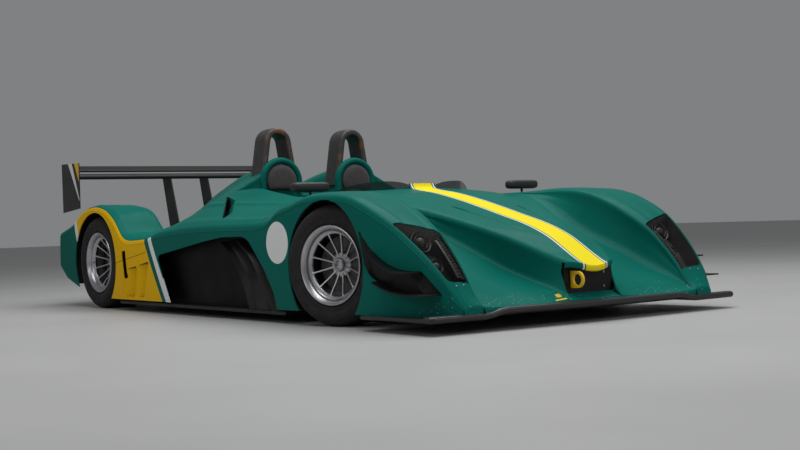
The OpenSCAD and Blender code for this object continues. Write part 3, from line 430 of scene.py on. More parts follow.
def twins(parts):
    """Parts with their materials, and the same on the car's other side."""
    return parts + [(*mirrored((p, f)), kind) for p, f, kind in parts]


# Places inside or outside an outline
def outside(u, v, outline):
    """Distance to an outline, positive outside."""
    a = np.asarray(outline, float)
    b = np.roll(a, -1, 0)
    p = np.stack([u, v], -1)[:, None, :]
    run = b - a
    t = np.clip(((p - a) * run).sum(-1) / (run * run).sum(-1), 0, 1)
    gap = np.linalg.norm(p - (a + run * t[..., None]), axis=-1).min(1)
    cross = (a[:, 1] <= p[..., 1]) != (b[:, 1] <= p[..., 1])
    rise = np.where(np.abs(run[:, 1]) < 1e-9, 1e-9, run[:, 1])
    at_u = a[:, 0] + (p[..., 1] - a[:, 1]) / rise * run[:, 0]
    inside = (cross & (p[..., 0] < at_u)).sum(1) % 2 == 1
    return np.where(inside, -gap, gap)


def placed(outline):
    return [(float(at(p[0])), p[1]) for p in outline]


# How far in the side cuts reach, as a half width
SIDE_CUT_Y = 700


def side_cut(outline):
    """Cuts an outline of [station, height] through the body side."""
    shape = placed(outline)
    return lambda p: np.maximum(outside(p[:, 0], p[:, 2], shape), SIDE_CUT_Y - np.abs(p[:, 1]))


def plan_cut(outline, above):
    """Cuts an outline of [station, half width] down through both sides, as far as a height."""
    shape = placed(outline)
    return lambda p: np.maximum(outside(p[:, 0], np.abs(p[:, 1]), shape), above - p[:, 2])


def arch_cut(x, z, radius):
    return lambda p: np.maximum(np.hypot(p[:, 0] - x, p[:, 2] - z) - radius, SIDE_CUT_Y - np.abs(p[:, 1]))


def cut(part, keeps):
    """A part after several cuts."""
    for keep in keeps:
        part = clip(*part, keep)
    return part


# Materials
class Shader:
    """A material's node tree, with short calls for what the patterns need."""

    def __init__(self, name):
        self.material = bpy.data.materials.new(name)
        self.material.use_nodes = True
        self.tree = self.material.node_tree
        self.bsdf = self.tree.nodes["Principled BSDF"]

    def set(self, **values):
        for key, value in values.items():
            self.plug(self.bsdf.inputs[key.replace("_", " ")], value)

    def node(self, kind, **settings):
        made = self.tree.nodes.new(kind)
        for key, value in settings.items():
            setattr(made, key, value)
        return made

    def plug(self, socket, value):
        if isinstance(value, bpy.types.NodeSocket):
            self.tree.links.new(value, socket)
        elif isinstance(value, (tuple, list)):
            opaque = len(value) == 3 and len(socket.default_value) == 4
            socket.default_value = (*value, 1) if opaque else value
        else:
            socket.default_value = value

    def math(self, operation, a, b=0.0, c=0.0):
        made = self.node("ShaderNodeMath", operation=operation)
        for socket, value in zip(made.inputs, (a, b, c)):
            self.plug(socket, value)
        return made.outputs[0]

    def place(self):
        """X, Y and Z in the car's frame, in metres."""
        coords = self.node("ShaderNodeTexCoord").outputs["Object"]
        split = self.node("ShaderNodeSeparateXYZ")
        self.tree.links.new(coords, split.inputs[0])
        return coords, split.outputs

    def mix(self, share, a, b):
        made = self.node("ShaderNodeMix", data_type="RGBA")
        self.plug(made.inputs[0], share)
        self.plug(made.inputs[6], a)
        self.plug(made.inputs[7], b)
        return made.outputs[2]

    def noise(self, coords, scale, detail=4.0, rough=0.55):
        made = self.node("ShaderNodeTexNoise")
        self.tree.links.new(coords, made.inputs["Vector"])
        made.inputs["Scale"].default_value = scale
        made.inputs["Detail"].default_value = detail
        made.inputs["Roughness"].default_value = rough
        return made.outputs["Fac"]

    def ramp(self, value, low, high, out_low=0.0, out_high=1.0):
        made = self.node("ShaderNodeMapRange")
        for socket, v in zip(made.inputs, (value, low, high, out_low, out_high)):
            self.plug(socket, v)
        return made.outputs[0]

    def vary(self, coords, scale, low=0.0, high=1.0, detail=4.0):
        """A value that drifts between two limits over the surface."""
        return self.ramp(self.noise(coords, scale, detail), 0.3, 0.7, low, high)

    def bump(self, height, strength, distance):
        made = self.node("ShaderNodeBump")
        made.inputs["Strength"].default_value = strength
        made.inputs["Distance"].default_value = distance
        self.tree.links.new(height, made.inputs["Height"])
        self.tree.links.new(made.outputs[0], self.bsdf.inputs["Normal"])

    def within(self, value, low, high, soft=0.0004):
        """1 where a value lies between two limits."""
        up = self.ramp(value, low - soft, low + soft)
        down = self.ramp(value, high - soft, high + soft, 1.0, 0.0)
        return self.math("MULTIPLY", up, down)

    def beyond(self, value, limit, soft=0.0004):
        return self.ramp(value, limit - soft, limit + soft)

    def both(self, *values):
        out = values[0]
        for v in values[1:]:
            out = self.math("MULTIPLY", out, v)
        return out


GREEN = (0.0024, 0.122, 0.096)
YELLOW = (0.82, 0.68, 0.016)
SIDE_YELLOW = (0.80, 0.46, 0.005)
WHITE = (0.74, 0.76, 0.75)
LINE_BLACK = (0.006, 0.007, 0.007)
CHIP = (0.42, 0.45, 0.42)


def slanted(sh, x, z, low, high):
    """Distance along the car ahead of a slanted line through two [station, height] points, in metres."""
    lean = (high[0] - low[0]) / (high[1] - low[1])
    foot = (FRONT_X + low[0] - lean * low[1]) * MM
    reach = sh.math("MULTIPLY_ADD", z, lean, foot)
    return sh.math("SUBTRACT", x, reach)


def band(sh, x, z, back, front):
    """1 between two slanted lines."""
    before = sh.math("MULTIPLY", slanted(sh, x, z, *front), -1.0)
    return sh.both(sh.beyond(slanted(sh, x, z, *back), 0.0), sh.beyond(before, 0.0))


def scaled(colour, share):
    return tuple(min(c * share, 1) for c in colour)


def paint(name, livery):
    """Clear-coated paint; livery gives the colour from the place on the car."""
    sh = Shader(name)
    coords, (x, y, z) = sh.place()
    wide = sh.math("ABSOLUTE", y)
    green = sh.mix(sh.vary(coords, 1.6, detail=3.0), scaled(GREEN, 0.93), scaled(GREEN, 1.07))
    sh.set(Base_Color=livery(sh, green, x, wide, z), Specular_IOR_Level=0.03,
           Roughness=sh.vary(coords, 14.0, 0.38, 0.48), Coat_Weight=0.04, Coat_Roughness=0.12)
    sh.bump(sh.noise(coords, 900.0, 1.0), 0.03, 0.0003)
    return sh.material


# Half widths in metres of the stripe, the dark gap beside it and the white line, and where they end
STRIPE_HALF, GAP_HALF, LINE_HALF = 0.060, 0.0655, 0.074
STRIPE_END, STRIPE_FOOT = COCKPIT_FRONT - 40, 0.2
# Chips fade out between two heights, and behind a station
CHIP_FOOT, CHIP_TOP, CHIP_BACK = 0.115, 0.165, 620


def stone_chips(sh, x, z):
    """Pale spots where stones have struck the lower front edge."""
    coords = sh.node("ShaderNodeTexCoord").outputs["Object"]
    cells = sh.node("ShaderNodeTexVoronoi", feature="F1")
    sh.tree.links.new(coords, cells.inputs["Vector"])
    cells.inputs["Scale"].default_value = 62.0
    dots = sh.ramp(cells.outputs["Distance"], 0.10, 0.16, 1.0, 0.0)
    some = sh.beyond(sh.noise(coords, 23.0, 2.0), 0.46, 0.03)
    low = sh.ramp(z, CHIP_FOOT, CHIP_TOP, 1.0, 0.0)
    return sh.both(dots, some, low, sh.beyond(x, at(CHIP_BACK) * MM, 0.05))


def front_livery(sh, green, x, wide, z):
    """Yellow centre stripe between white lines, and stone chips along the lower front edge."""
    ahead = sh.both(sh.beyond(x, at(STRIPE_END) * MM), sh.beyond(z, STRIPE_FOOT))
    colour = green
    for half, tint in ((LINE_HALF, WHITE), (GAP_HALF, LINE_BLACK), (STRIPE_HALF, YELLOW)):
        colour = sh.mix(sh.both(ahead, sh.within(wide, -1, half)), colour, tint)
    return roundel(sh, sh.mix(stone_chips(sh, x, z), colour, CHIP), x, wide, z)


ROUNDEL_S, ROUNDEL_Z, ROUNDEL_R, ROUNDEL_WIDE = -382, 384, 100, 0.80


def roundel(sh, colour, x, wide, z):
    """Bare white disc on the body side."""
    dx = sh.math("SUBTRACT", x, at(ROUNDEL_S) * MM)
    dz = sh.math("SUBTRACT", z, ROUNDEL_Z * MM)
    far = sh.math("SQRT", sh.math("ADD", sh.math("MULTIPLY", dx, dx), sh.math("MULTIPLY", dz, dz)))
    return sh.mix(sh.both(sh.within(far, -1, ROUNDEL_R * MM), sh.beyond(wide, ROUNDEL_WIDE)), colour, WHITE)


FLANK_Y = 0.8745
# Slanted lines on the side, as [station, height] low and high
YELLOW_FRONT = (-1626, 50), (-1858, 413)
WHITE_BACK = (-1582, 50), (-1810, 420)
WHITE_FRONT = (-1524, 50), (-1764, 420)
TAIL_FRONT = (-2774, 419), (-2817, 554)
TAIL_BACK = (-2810, 404), (-2862, 546)
SEAM = (-2238, 278), (-1832, 339)
SEAM_HALF = 0.0014


def side_livery(sh, green, x, wide, z):
    """Yellow side panel and arch between slanted white stripes, with a seam across the panel."""
    side = sh.beyond(wide, FLANK_Y, 0.0006)
    colour = green
    for back, front, tint in ((TAIL_FRONT, YELLOW_FRONT, SIDE_YELLOW), (WHITE_BACK, WHITE_FRONT, WHITE),
                              (TAIL_BACK, TAIL_FRONT, WHITE)):
        colour = sh.mix(sh.both(side, band(sh, x, z, back, front)), colour, tint)
    (s0, z0), (s1, z1) = SEAM
    rise = (z1 - z0) / (s1 - s0)
    level = sh.math("MULTIPLY_ADD", x, rise, (z0 - rise * (s0 + FRONT_X)) * MM)
    seam = sh.within(sh.math("SUBTRACT", z, level), -SEAM_HALF, SEAM_HALF)
    reach = sh.within(x, at(s0) * MM, at(s1) * MM)
    colour = sh.mix(sh.both(side, seam, reach), colour, LINE_BLACK)
    return roundel(sh, colour, x, wide, z)


def plain_livery(sh, green, x, wide, z):
    return green


def yellow_livery(sh, green, x, wide, z):
    return SIDE_YELLOW


def surface(name, colour, rough=(0.4, 0.55), metallic=0.0, scale=40.0, vary=0.15, bump=0.1, depth=0.0005,
            fine=220.0, **extra):
    """General finish: slight changes of tone and gloss, and a fine grain."""
    sh = Shader(name)
    coords, _ = sh.place()
    tone = sh.mix(sh.vary(coords, scale), scaled(colour, 1 - vary), scaled(colour, 1 + vary))
    sh.set(Base_Color=tone, Metallic=metallic, Roughness=sh.vary(coords, scale * 0.4, *rough), **extra)
    if bump:
        sh.bump(sh.noise(coords, fine, 3.0), bump, depth)
    return sh.material


WEAVE_PITCH = 0.008


def carbon(name, colour=(0.007, 0.007, 0.0078), rough=(0.38, 0.52)):
    """Composite with a faint woven check under satin resin."""
    sh = Shader(name)
    coords, (x, y, z) = sh.place()
    turns = [sh.math("MULTIPLY", sh.math("ADD", v, z), 2 * math.pi / WEAVE_PITCH) for v in (x, y)]
    weave = sh.math("MULTIPLY", *(sh.math("SINE", turn) for turn in turns))
    sh.set(Base_Color=sh.mix(sh.ramp(weave, -0.3, 0.3), colour, scaled(colour, 1.7)),
           Roughness=sh.vary(coords, 9.0, *rough), Specular_IOR_Level=0.3)
    sh.bump(weave, 0.04, 0.0004)
    return sh.material


def worn_hoop(name):
    """Dark satin coating, rubbed through to brown primer in patches along the front edges."""
    sh = Shader(name)
    coords, (x, y, z) = sh.place()
    dark = sh.mix(sh.vary(coords, 22.0), (0.026, 0.025, 0.024), (0.042, 0.040, 0.039))
    front = sh.ramp(x, (HOOP_X + 0.3 * HOOP_DEPTH) * MM, (HOOP_X + 0.5 * HOOP_DEPTH) * MM)
    patchy = sh.ramp(sh.noise(coords, 16.0, 6.0, 0.7), 0.50, 0.60)
    sh.set(Base_Color=sh.mix(sh.both(front, patchy), dark, (0.13, 0.055, 0.022)),
           Roughness=sh.vary(coords, 30.0, 0.38, 0.58))
    sh.bump(sh.noise(coords, 160.0, 4.0), 0.12, 0.0006)
    return sh.material


# White stripe and yellow corner on the wing's endplates, as [station, height] low and high
PLATE_WHITE_BACK = (-3000, 706), (-3134, 903)
PLATE_WHITE_FRONT = (-2962, 663), (-3073, 903)
PLATE_YELLOW_BACK = (-2965, 781), (-3037, 902)
PLATE_FACE = 0.7925


def plate_livery(name):
    """Composite plates with a slanted white stripe and a yellow corner on their outer faces."""
    sh = Shader(name)
    coords, (x, y, z) = sh.place()
    face = sh.beyond(sh.math("ABSOLUTE", y), PLATE_FACE, 0.0002)
    stripe = band(sh, x, z, PLATE_WHITE_BACK, PLATE_WHITE_FRONT)
    corner = sh.both(sh.beyond(slanted(sh, x, z, *PLATE_YELLOW_BACK), 0.0),
                     sh.beyond(z, PLATE_YELLOW_BACK[0][1] * MM))
    colour = sh.mix(sh.vary(coords, 40.0), (0.006, 0.006, 0.0065), (0.01, 0.01, 0.0105))
    for share, tint in ((stripe, WHITE), (corner, SIDE_YELLOW)):
        colour = sh.mix(sh.both(face, share), colour, tint)
    sh.set(Base_Color=colour, Roughness=sh.vary(coords, 12.0, 0.35, 0.5))
    sh.bump(sh.noise(coords, 300.0, 2.0), 0.04, 0.0004)
    return sh.material


def rubber(name):
    """Slick tyre rubber, dusty and scuffed on the tread."""
    sh = Shader(name)
    coords, _ = sh.place()
    dust = sh.ramp(sh.noise(coords, 9.0, 6.0, 0.65), 0.45, 0.75)
    sh.set(Base_Color=sh.mix(dust, (0.009, 0.0085, 0.0085), (0.024, 0.021, 0.0195)),
           Roughness=sh.vary(coords, 30.0, 0.6, 0.82), Specular_IOR_Level=0.35)
    sh.bump(sh.noise(coords, 260.0, 4.0), 0.25, 0.0005)
    return sh.material


def clear(name, tint, alpha, rough, shine):
    """Thin clear plastic: mostly open to light, with its own reflections."""
    sh = Shader(name)
    coords, _ = sh.place()
    sh.set(Base_Color=sh.mix(sh.vary(coords, 8.0), scaled(tint, 0.9), tint), Roughness=rough, Alpha=alpha,
           Specular_IOR_Level=shine)
    sh.material.surface_render_method = "BLENDED"
    return sh.material


paint_front = paint("paint_front", front_livery)
paint_side = paint("paint_side", side_livery)
paint_cover = paint("paint_cover", plain_livery)
paint_yellow = paint("paint_yellow", yellow_livery)
# Painted shade: near-black for the panels' insides, the wheel wells, the gills' walls, the scoop's deep end
# and the plates behind openings, where these lie in shadow
painted_shade_black = surface("painted_shade_black", (0.006, 0.006, 0.0065), (0.6, 0.8), bump=0.15, Specular_IOR_Level=0.2)
carbon_black = carbon("carbon_black")
lip_black = carbon("lip_black", (0.022, 0.021, 0.021), (0.3, 0.42))
satin_black = surface("satin_black", (0.014, 0.014, 0.015), (0.4, 0.55), scale=18.0, bump=0.05)
blade_black = surface("blade_black", (0.004, 0.004, 0.0045), (0.32, 0.44), scale=18.0, bump=0.04,
                      Specular_IOR_Level=0.25)
hoop_coating = worn_hoop("hoop_coating")
plate_black = plate_livery("plate_black")
tyre_rubber = rubber("tyre_rubber")
rim_metal = surface("rim_metal", (0.46, 0.46, 0.48), (0.26, 0.38), 1.0, scale=30.0, vary=0.06, bump=0.03)
spoke_metal = surface("spoke_metal", (0.58, 0.58, 0.60), (0.24, 0.34), 1.0, scale=30.0, vary=0.06, bump=0.02)
hub_metal = surface("hub_metal", (0.12, 0.09, 0.035), (0.35, 0.5), 1.0, scale=60.0, vary=0.3)
dark_metal = surface("dark_metal", (0.02, 0.02, 0.02), (0.45, 0.6), 0.6, scale=60.0)
disc_iron = surface("disc_iron", (0.09, 0.088, 0.085), (0.4, 0.55), 0.9, scale=50.0)
cast_grey = surface("cast_grey", (0.12, 0.12, 0.125), (0.45, 0.6), 0.8, scale=70.0, bump=0.2)
steel_dark = surface("steel_dark", (0.06, 0.06, 0.065), (0.35, 0.5), 0.6, scale=60.0)
tow_yellow = surface("tow_yellow", (0.78, 0.50, 0.01), (0.35, 0.5), scale=30.0, vary=0.08)
pad_cloth = surface("pad_cloth", (0.042, 0.041, 0.041), (0.72, 0.88), scale=60.0, vary=0.18, bump=0.35,
                    depth=0.0008, fine=700.0, Sheen_Weight=0.2)
piping_grey = surface("piping_grey", (0.12, 0.12, 0.12), (0.5, 0.65), scale=80.0)
cockpit_black = surface("cockpit_black", (0.018, 0.018, 0.019), (0.6, 0.8), scale=25.0, bump=0.2)
lamp_dark = surface("lamp_dark", (0.020, 0.018, 0.017), (0.4, 0.55), scale=30.0, bump=0.05,
                    Specular_IOR_Level=0.3)
lamp_rim = surface("lamp_rim", (0.008, 0.008, 0.008), (0.25, 0.4), scale=30.0, bump=0.03,
                   Specular_IOR_Level=0.4)
# Painted highlights: pale white and light grey for the lamps' bulbs, small lights and the big lamp's ring,
# brighter than these parts to stand in for light on them
glass_highlight = surface("glass_highlight", (0.42, 0.44, 0.44), (0.08, 0.14), scale=10.0, bump=0.0)
highlight_white = surface("highlight_white", (0.80, 0.82, 0.82), (0.12, 0.2), scale=10.0, bump=0.0)
chrome = surface("chrome", (0.75, 0.76, 0.78), (0.08, 0.14), 1.0, scale=10.0, vary=0.03, bump=0.0)
bolt_grey = surface("bolt_grey", (0.16, 0.17, 0.16), (0.3, 0.45), 0.7, scale=60.0)
recess_black = surface("recess_black", (0.002, 0.002, 0.0022), (0.42, 0.55), scale=18.0, bump=0.05,
                       Specular_IOR_Level=0.12)
mirror_black = carbon("mirror_black", (0.020, 0.020, 0.020), (0.4, 0.55))
lens_clear = clear("lens_clear", (0.03, 0.031, 0.031), 0.04, 0.2, 0.05)
screen_smoke = clear("screen_smoke", (0.02, 0.035, 0.032), 0.62, 0.08, 0.25)


def dress(obj, *materials):
    obj.data.materials.clear()
    for m in materials:
        obj.data.materials.append(m)
    return obj


def piece(obj, slot, materials, *replaced, body="car"):
    """Puts a piece on its body with its finish, and hides the solids that it stands for; its slot is not
    used.
    """
    if materials:
        dress(obj, *materials)
    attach(obj, body)
    if replaced:
        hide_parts(*replaced)
    return obj


def panel(name, part, thickness, slot, materials, *replaced):
    """A piece of the car from an open surface; a second material is for its inside."""
    obj = dress(mesh_object(name, *part), *materials)
    thicken(obj, thickness)
    return piece(obj, slot, None, *replaced)


# Front bodywork
ARCH_LEAD, ARCH_Z, ARCH_R = 22, 268, 307
REAR_ARCH_R = 303
SIDE_OPENING = [[-398, 30], [-429, 145], [-507, 251], [-587, 329], [-652, 390], [-690, 409], [-731, 417],
                [-944, 415], [-1140, 394], [-1690, 321], [-1524, 30]]
LAMP_PLAN = [[764, 646], [779, 746], [777, 764], [767, 775], [701, 796], [606, 822], [502, 848], [554, 632]]
VENT_TOP = [[294, 461], [329, 406], [376, 360], [438, 314], [500, 281], [558, 263], [615, 256], [667, 256]]
VENT_LOW = [[766, 156], [701, 156], [634, 159], [564, 167], [496, 182], [427, 207], [375, 233], [340, 260]]
VENT = VENT_TOP + VENT_LOW
FRONT_RADII = [26, 34, 80, 20, 200, 30, 260]
FRONT_FLATS = [44, 7, 12, 9, 7, 7, 5, 9]
FRONT_BULGES = [0, -3, -10, -4, 3, 3, 2, 2]
NOSE_HALF, NOSE_SWEEP, MOUTH_S, MOUTH_TOP = 153, 48, 785, 236
LIP_EDGE_Z = 97
# Groove along the bonnet, as [station, half width] and [station, depth], with a pocket at its back end
GROOVE_Y = [[101, 208], [169, 204], [239, 204], [301, 196], [437, 180], [543, 136]]
GROOVE_DEEP = [[90, 0], [101, 18], [163, 20], [190, 8], [437, 5], [543, 0]]
GROOVE_HALF, GROOVE_SPAN = 9.0, 12.0
GROOVE_FIRST, GROOVE_LAST = 16, 26
# Widest share of the bonnet that the groove reaches, and how much of the crown's height its bow takes
GROOVE_SHARE, BONNET_BOW = 0.6, 0.92
# How far down the cuts from above reach
LAMP_CUT_Z, COCKPIT_CUT_Z, SCOOP_CUT_Z = 150, 300, 400
# Cockpit's rounded corners: station and half width of the middle, radius, angles and points
COWL_R = 120
COWL_CORNER = COCKPIT_FRONT - COWL_R, 200, COWL_R, 0, 1.2, 10
COCKPIT_SHOULDER = -600, 485, 60, 1.0, math.pi / 2, 6
COCKPIT_EDGE_Y, COCKPIT_PAST = 545, 400
NOSE_CORNER, NOSE_CUT_Z, UNCUT = 144, 200, 50
# Rolled front edge, as forward and drop: the first row reaches down to the sill
FRONT_ROLL = (5, None), (5, 15), (3.5, 5)
ROLL_FOOT = SILL_Z + 3
# Sections lie closer together ahead of this station
NOSE_FINE, FINE_STEP, COARSE_STEP = 700, 6.0, 11.0


def arc(s, y, radius, start, end, count):
    return [[s + radius * math.cos(a), y + radius * math.sin(a)] for a in np.linspace(start, end, count)]


def cockpit_outline():
    """Cockpit opening in plan, with a rounded front."""
    back, past = COCKPIT_BACK - COCKPIT_PAST, -50
    return [[COCKPIT_FRONT, 0], *arc(*COWL_CORNER), *arc(*COCKPIT_SHOULDER), [back, COCKPIT_EDGE_Y],
            [back, past], [COCKPIT_FRONT, past]]


def table(rows, s):
    """Straight-line value of a [station, value] table."""
    rows = sorted(rows)
    return np.interp(s, [r[0] for r in rows], [r[1] for r in rows])


def front_half(s):
    """Left half of the front body: the bonnet's columns crowd together at its groove."""
    half = section_grid(s, rounded(front_points(s), FRONT_RADII, FRONT_FLATS, FRONT_BULGES))
    count = FRONT_FLATS[0]
    edge = half[:, count, 1][:, None]
    groove = np.minimum(table(GROOVE_Y, s), GROOVE_SHARE * edge[:, 0])[:, None]
    k = np.arange(count)
    inner = (groove - GROOVE_SPAN) * k / GROOVE_FIRST
    middle = groove + GROOVE_SPAN * (2 * (k - GROOVE_FIRST) / (GROOVE_LAST - GROOVE_FIRST) - 1)
    outer = groove + GROOVE_SPAN + (edge - groove - GROOVE_SPAN) * (k - GROOVE_LAST) / (count - GROOVE_LAST)
    y = np.where(k < GROOVE_FIRST, inner, np.where(k < GROOVE_LAST, middle, outer))
    bow = (crown_z(s) - chine_z(s))[:, None]
    away = np.clip(np.abs(y - groove) / GROOVE_HALF, 0, 1)
    sunk = table(GROOVE_DEEP, s)[:, None] * (1 - away ** 2) ** 2
    half[:, :count, 1] = y
    half[:, :count, 2] = crown_z(s)[:, None] - bow * BONNET_BOW * (y / edge) ** 2 - sunk
    return half


def front_top(s, y):
    """Height of the front body between its middle and the wall of the front wing."""
    row = front_half(np.array([float(s)]))[0][:sum(FRONT_FLATS[:3]) + 2 * CORNER_STEPS + 2]
    return np.interp(y, row[:, 1], row[:, 2])


def nose_edge_s(wide):
    """Station of the nose's front edge, which sweeps back to its corners."""
    return NOSE_TIP - NOSE_SWEEP * (wide / NOSE_CORNER) ** 3


def nose_cut(p):
    """Cuts the nose back to its swept edge; below it the mouth is open."""
    wide = np.abs(p[:, 1])
    sweep = np.where(wide < NOSE_HALF, at(nose_edge_s(wide)) - p[:, 0], UNCUT)
    mouth = np.maximum.reduce([wide - NOSE_HALF, at(MOUTH_S) - p[:, 0], p[:, 2] - MOUTH_TOP])
    return np.minimum(np.where(p[:, 2] > NOSE_CUT_Z, sweep, UNCUT), mouth)


def make_front_body():
    s = np.concatenate([np.arange(NOSE_TIP, NOSE_FINE, -FINE_STEP),
                        np.arange(NOSE_FINE, FRONT_END, -COARSE_STEP), [FRONT_END]])
    half = front_half(s)
    roll = []
    for forward, drop in FRONT_ROLL:
        row = half[0].copy()
        top = row[:, 2] > LIP_EDGE_Z
        row[top, 0] += forward
        row[top, 2] = row[top, 2] - drop if drop else ROLL_FOOT
        roll.append(row)
    skin = cut(patch(whole(np.concatenate([np.array(roll), half]))), [
        arch_cut(FRONT_X + ARCH_LEAD, ARCH_Z, ARCH_R), plan_cut(LAMP_PLAN, LAMP_CUT_Z),
        side_cut(SIDE_OPENING), side_cut(VENT), plan_cut(cockpit_outline(), COCKPIT_CUT_Z), nose_cut])
    # The skin's inside faces are near-black as painted shade
    panel("front_skin", skin, SKIN_T, "paint_green", [paint_front, painted_shade_black], "front_body")


# Nose: the strip under the black panel, the plate that closes the view behind it in black as painted shade,
# and bolts
STRIP = [[798, 100], [798, 127], [806, 121], [822, 112], [845, 103], [849, 100], [851, 96], [851, 70],
         [845, 70], [842, 90]]
STRIP_HALF = 166
NOSE_BACK = 774, 778, 100, 262, -NOSE_HALF, NOSE_HALF
# Roll of the nose's edge over the black panel, as forward and drop
NOSE_ROLL = (-1, 0.5), (2, 2), (3.5, 6), (3.5, 14), (2, 21), (-4, 24)
PANEL_FACE = 797.3
PANEL_BOLTS, PANEL_BOLT = [[95, 213], [95, 148]], (7.5, 4)
BODY_BOLTS, BODY_BOLT = [[778, 690], [788, 735]], (5.5, 2.5)
BODY_BOLT_AXIS = (0.62, 0, 0.78)


def dome(radius, height):
    """Low round head along Y."""
    a = np.linspace(0, math.pi / 2, 6)
    top = [[radius * math.cos(t) + 0.01, 1 + height * math.sin(t)] for t in a]
    return lathe([[radius, 0], *top, [0.01, 0]], 20)


def make_nose_edge():
    """The nose's front edge rolls down over the black panel."""
    rows = []
    for forward, drop in NOSE_ROLL:
        row = []
        for y in np.linspace(1 - NOSE_CORNER, NOSE_CORNER - 1, 73):
            s = nose_edge_s(abs(y))
            row.append(spot(s + forward, y, front_top(s, abs(y)) - drop))
        rows.append(row)
    panel("nose_edge", patch(rows), SHEET_T, "paint_green", [paint_front])


def make_nose():
    piece(solid("nose_strip", [(*plate(STRIP, -STRIP_HALF, STRIP_HALF), 0)]), "paint_green", [paint_front])
    piece(solid("nose_back", [(*box(*NOSE_BACK), 0)]), "carbon_black", [painted_shade_black])
    parts = [(*turned(dome(*PANEL_BOLT), spot(PANEL_FACE, y, z), (1, 0, 0)), 0) for y, z in PANEL_BOLTS]
    parts += twins([(*turned(dome(*BODY_BOLT), spot(s, y, fender_height(s, y) - 1), BODY_BOLT_AXIS), 0)
                    for s, y in BODY_BOLTS])
    piece(solid("body_bolts", parts), "steel_dark", [bolt_grey])


# Small yellow mark over a line ahead of the tow eye, as stations and half widths from and to
MARKS = [[806, 826, 186, 212], [836, 843, 172, 236]]
MARK_RISE, MARK_T = 1.2, 0.8


def make_marker():
    """Lies on the front body's floor."""
    parts = []
    for s0, s1, y0, y1 in MARKS:
        parts.append(patch([[spot(s, -y, front_top(s, y) + MARK_RISE) for y in np.linspace(y0, y1, 9)]
                            for s in np.linspace(s0, s1, 9)]))
    panel("tow_marker", join(parts), MARK_T, "tow_yellow", [tow_yellow])


# Splitter: a flat plate that ends in a rolled lip, higher across the middle
LIP_FRONT = [[0, 886], [120, 886], [700, 860], [905, 851], [922, 838]]
LIP_BACK = [[0, 318], [560, 318], [640, 333], [905, 340], [922, 352]]
LIP_FOOT = [[0, 68], [520, 68], [560, 64], [600, 54], [640, 50], [922, 50]]
LIP_T, PLATE_FOOT, PLATE_TOP, END_Y, END_R = 29, 58, 66.8, 905, 17
# Lip's rounded edge as [back from its front, in from its top or foot], and where it runs out into the plate
LIP_ROUND = [[14, 0], [6, 3], [1.5, 8]]
LIP_RUN, LIP_FLAT, LIP_STEP, LIP_SEAT, STEP_RISE = 70, 30, 44, 52, 12


def make_splitter():
    end = END_Y + END_R * np.sin(np.linspace(0, math.pi / 2, 7))
    half = np.concatenate([np.arange(0, END_Y, COARSE_STEP), end])
    rings = []
    for y in np.concatenate([-half[:0:-1], half]):
        wide = abs(y)
        f, b, low = (float(table(t, wide)) for t in (LIP_FRONT, LIP_BACK, LIP_FOOT))
        top, foot = low + LIP_T, min(low, PLATE_FOOT)
        shape = np.array([[b, foot], [f - LIP_RUN, foot], [f - LIP_FLAT, low],
                          *[[f - d, low + h] for d, h in LIP_ROUND], [f, low + LIP_T / 2],
                          *[[f - d, top - h] for d, h in LIP_ROUND[::-1]], [f - LIP_FLAT, top],
                          [f - LIP_STEP, min(top, PLATE_TOP + STEP_RISE)], [f - LIP_SEAT, PLATE_TOP],
                          [b, PLATE_TOP]])
        if wide > END_Y:
            middle = (low + top) / 2
            share = max(1 - ((wide - END_Y) / END_R) ** 2, 0.01) ** 0.5
            shape[:, 1] = middle + (shape[:, 1] - middle) * share
        rings.append([spot(s, y, z) for s, z in shape])
    piece(solid("splitter_lip", [(*tube(rings), 0)], 40), "carbon_black", [lip_black], "splitter")


# Fine bars across the front of the vent
SLAT_TOP, SLAT_FOOT = [[668, 242], [600, 242]], [[740, 160], [672, 160]]
SLATS, SLAT_R, SLAT_IN = 8, 1.6, 2


def make_slats():
    parts = []
    for t in np.linspace(0, 1, SLATS):
        ends = [np.array(e[0]) * (1 - t) + np.array(e[1]) * t for e in (SLAT_TOP, SLAT_FOOT)]
        path = [spot(s, edge_y(s) - SLAT_IN, z) for s, z in ends]
        parts.append((*pipe(path, (0, 1, 0), SLAT_R, 8), 0))
    piece(solid("vent_slats", twins(parts)), "carbon_black", [lip_black])


# Body sides and rear wings
SIDE_RADII = [30, 160, 26, 260]
SIDE_FLATS = [7, 9, 9, 5, 9]
SIDE_BULGES = [0, 4, 4, 2, 2]
SCOOP = [[-1361, 609], [-1191, 651], [-1025, 761], [-1029, 826]]
# Scoop's depth, and the share of its ramp that stays green; the deeper rest of the ramp is black as painted
# shade
SCOOP_DEEP, SCOOP_GREEN_SHARE = 85, 0.5
SLOT = [[-2158, 346], [-2104, 351], [-2075, 190], [-2128, 185]]
SLOT_BACK = [[-2205, 362], [-2102, 366], [-2074, 178], [-2175, 172]]
SLOT_BACK_Y = 865
# Louvres in the yellow panel: top rear, top front, low front, low rear
LOUVRES = [[[-2066, 245], [-1938, 265], [-1988, 86], [-2161, 82]],
           [[-1926, 266], [-1789, 289], [-1864, 87], [-1976, 86]]]
LOUVRE_DEEP = 46
LOUVRE_CURVE, LOUVRE_SINK, LOUVRE_WALL_T = 1.3, 1, 2
# Shares of the skin's thickness that the scoop's ramp, wall and sides lie below its top
RAMP_SINK, WALL_SINK, EDGE_SINK = 0.3 * SKIN_T, 0.5 * SKIN_T, 0.8 * SKIN_T
PANEL_GAP = 0.4
# Stations of the rear wing's sections: from, to and how many
REAR_RUNS = (POD_END, -2050, 40), (-2056, -2800, 124), (-2812, TAIL_END, 20)
TAIL_CUT = [[-2700, 96], [-2978, 179], [-3110, 273], [-3110, 0], [-2700, 0]]


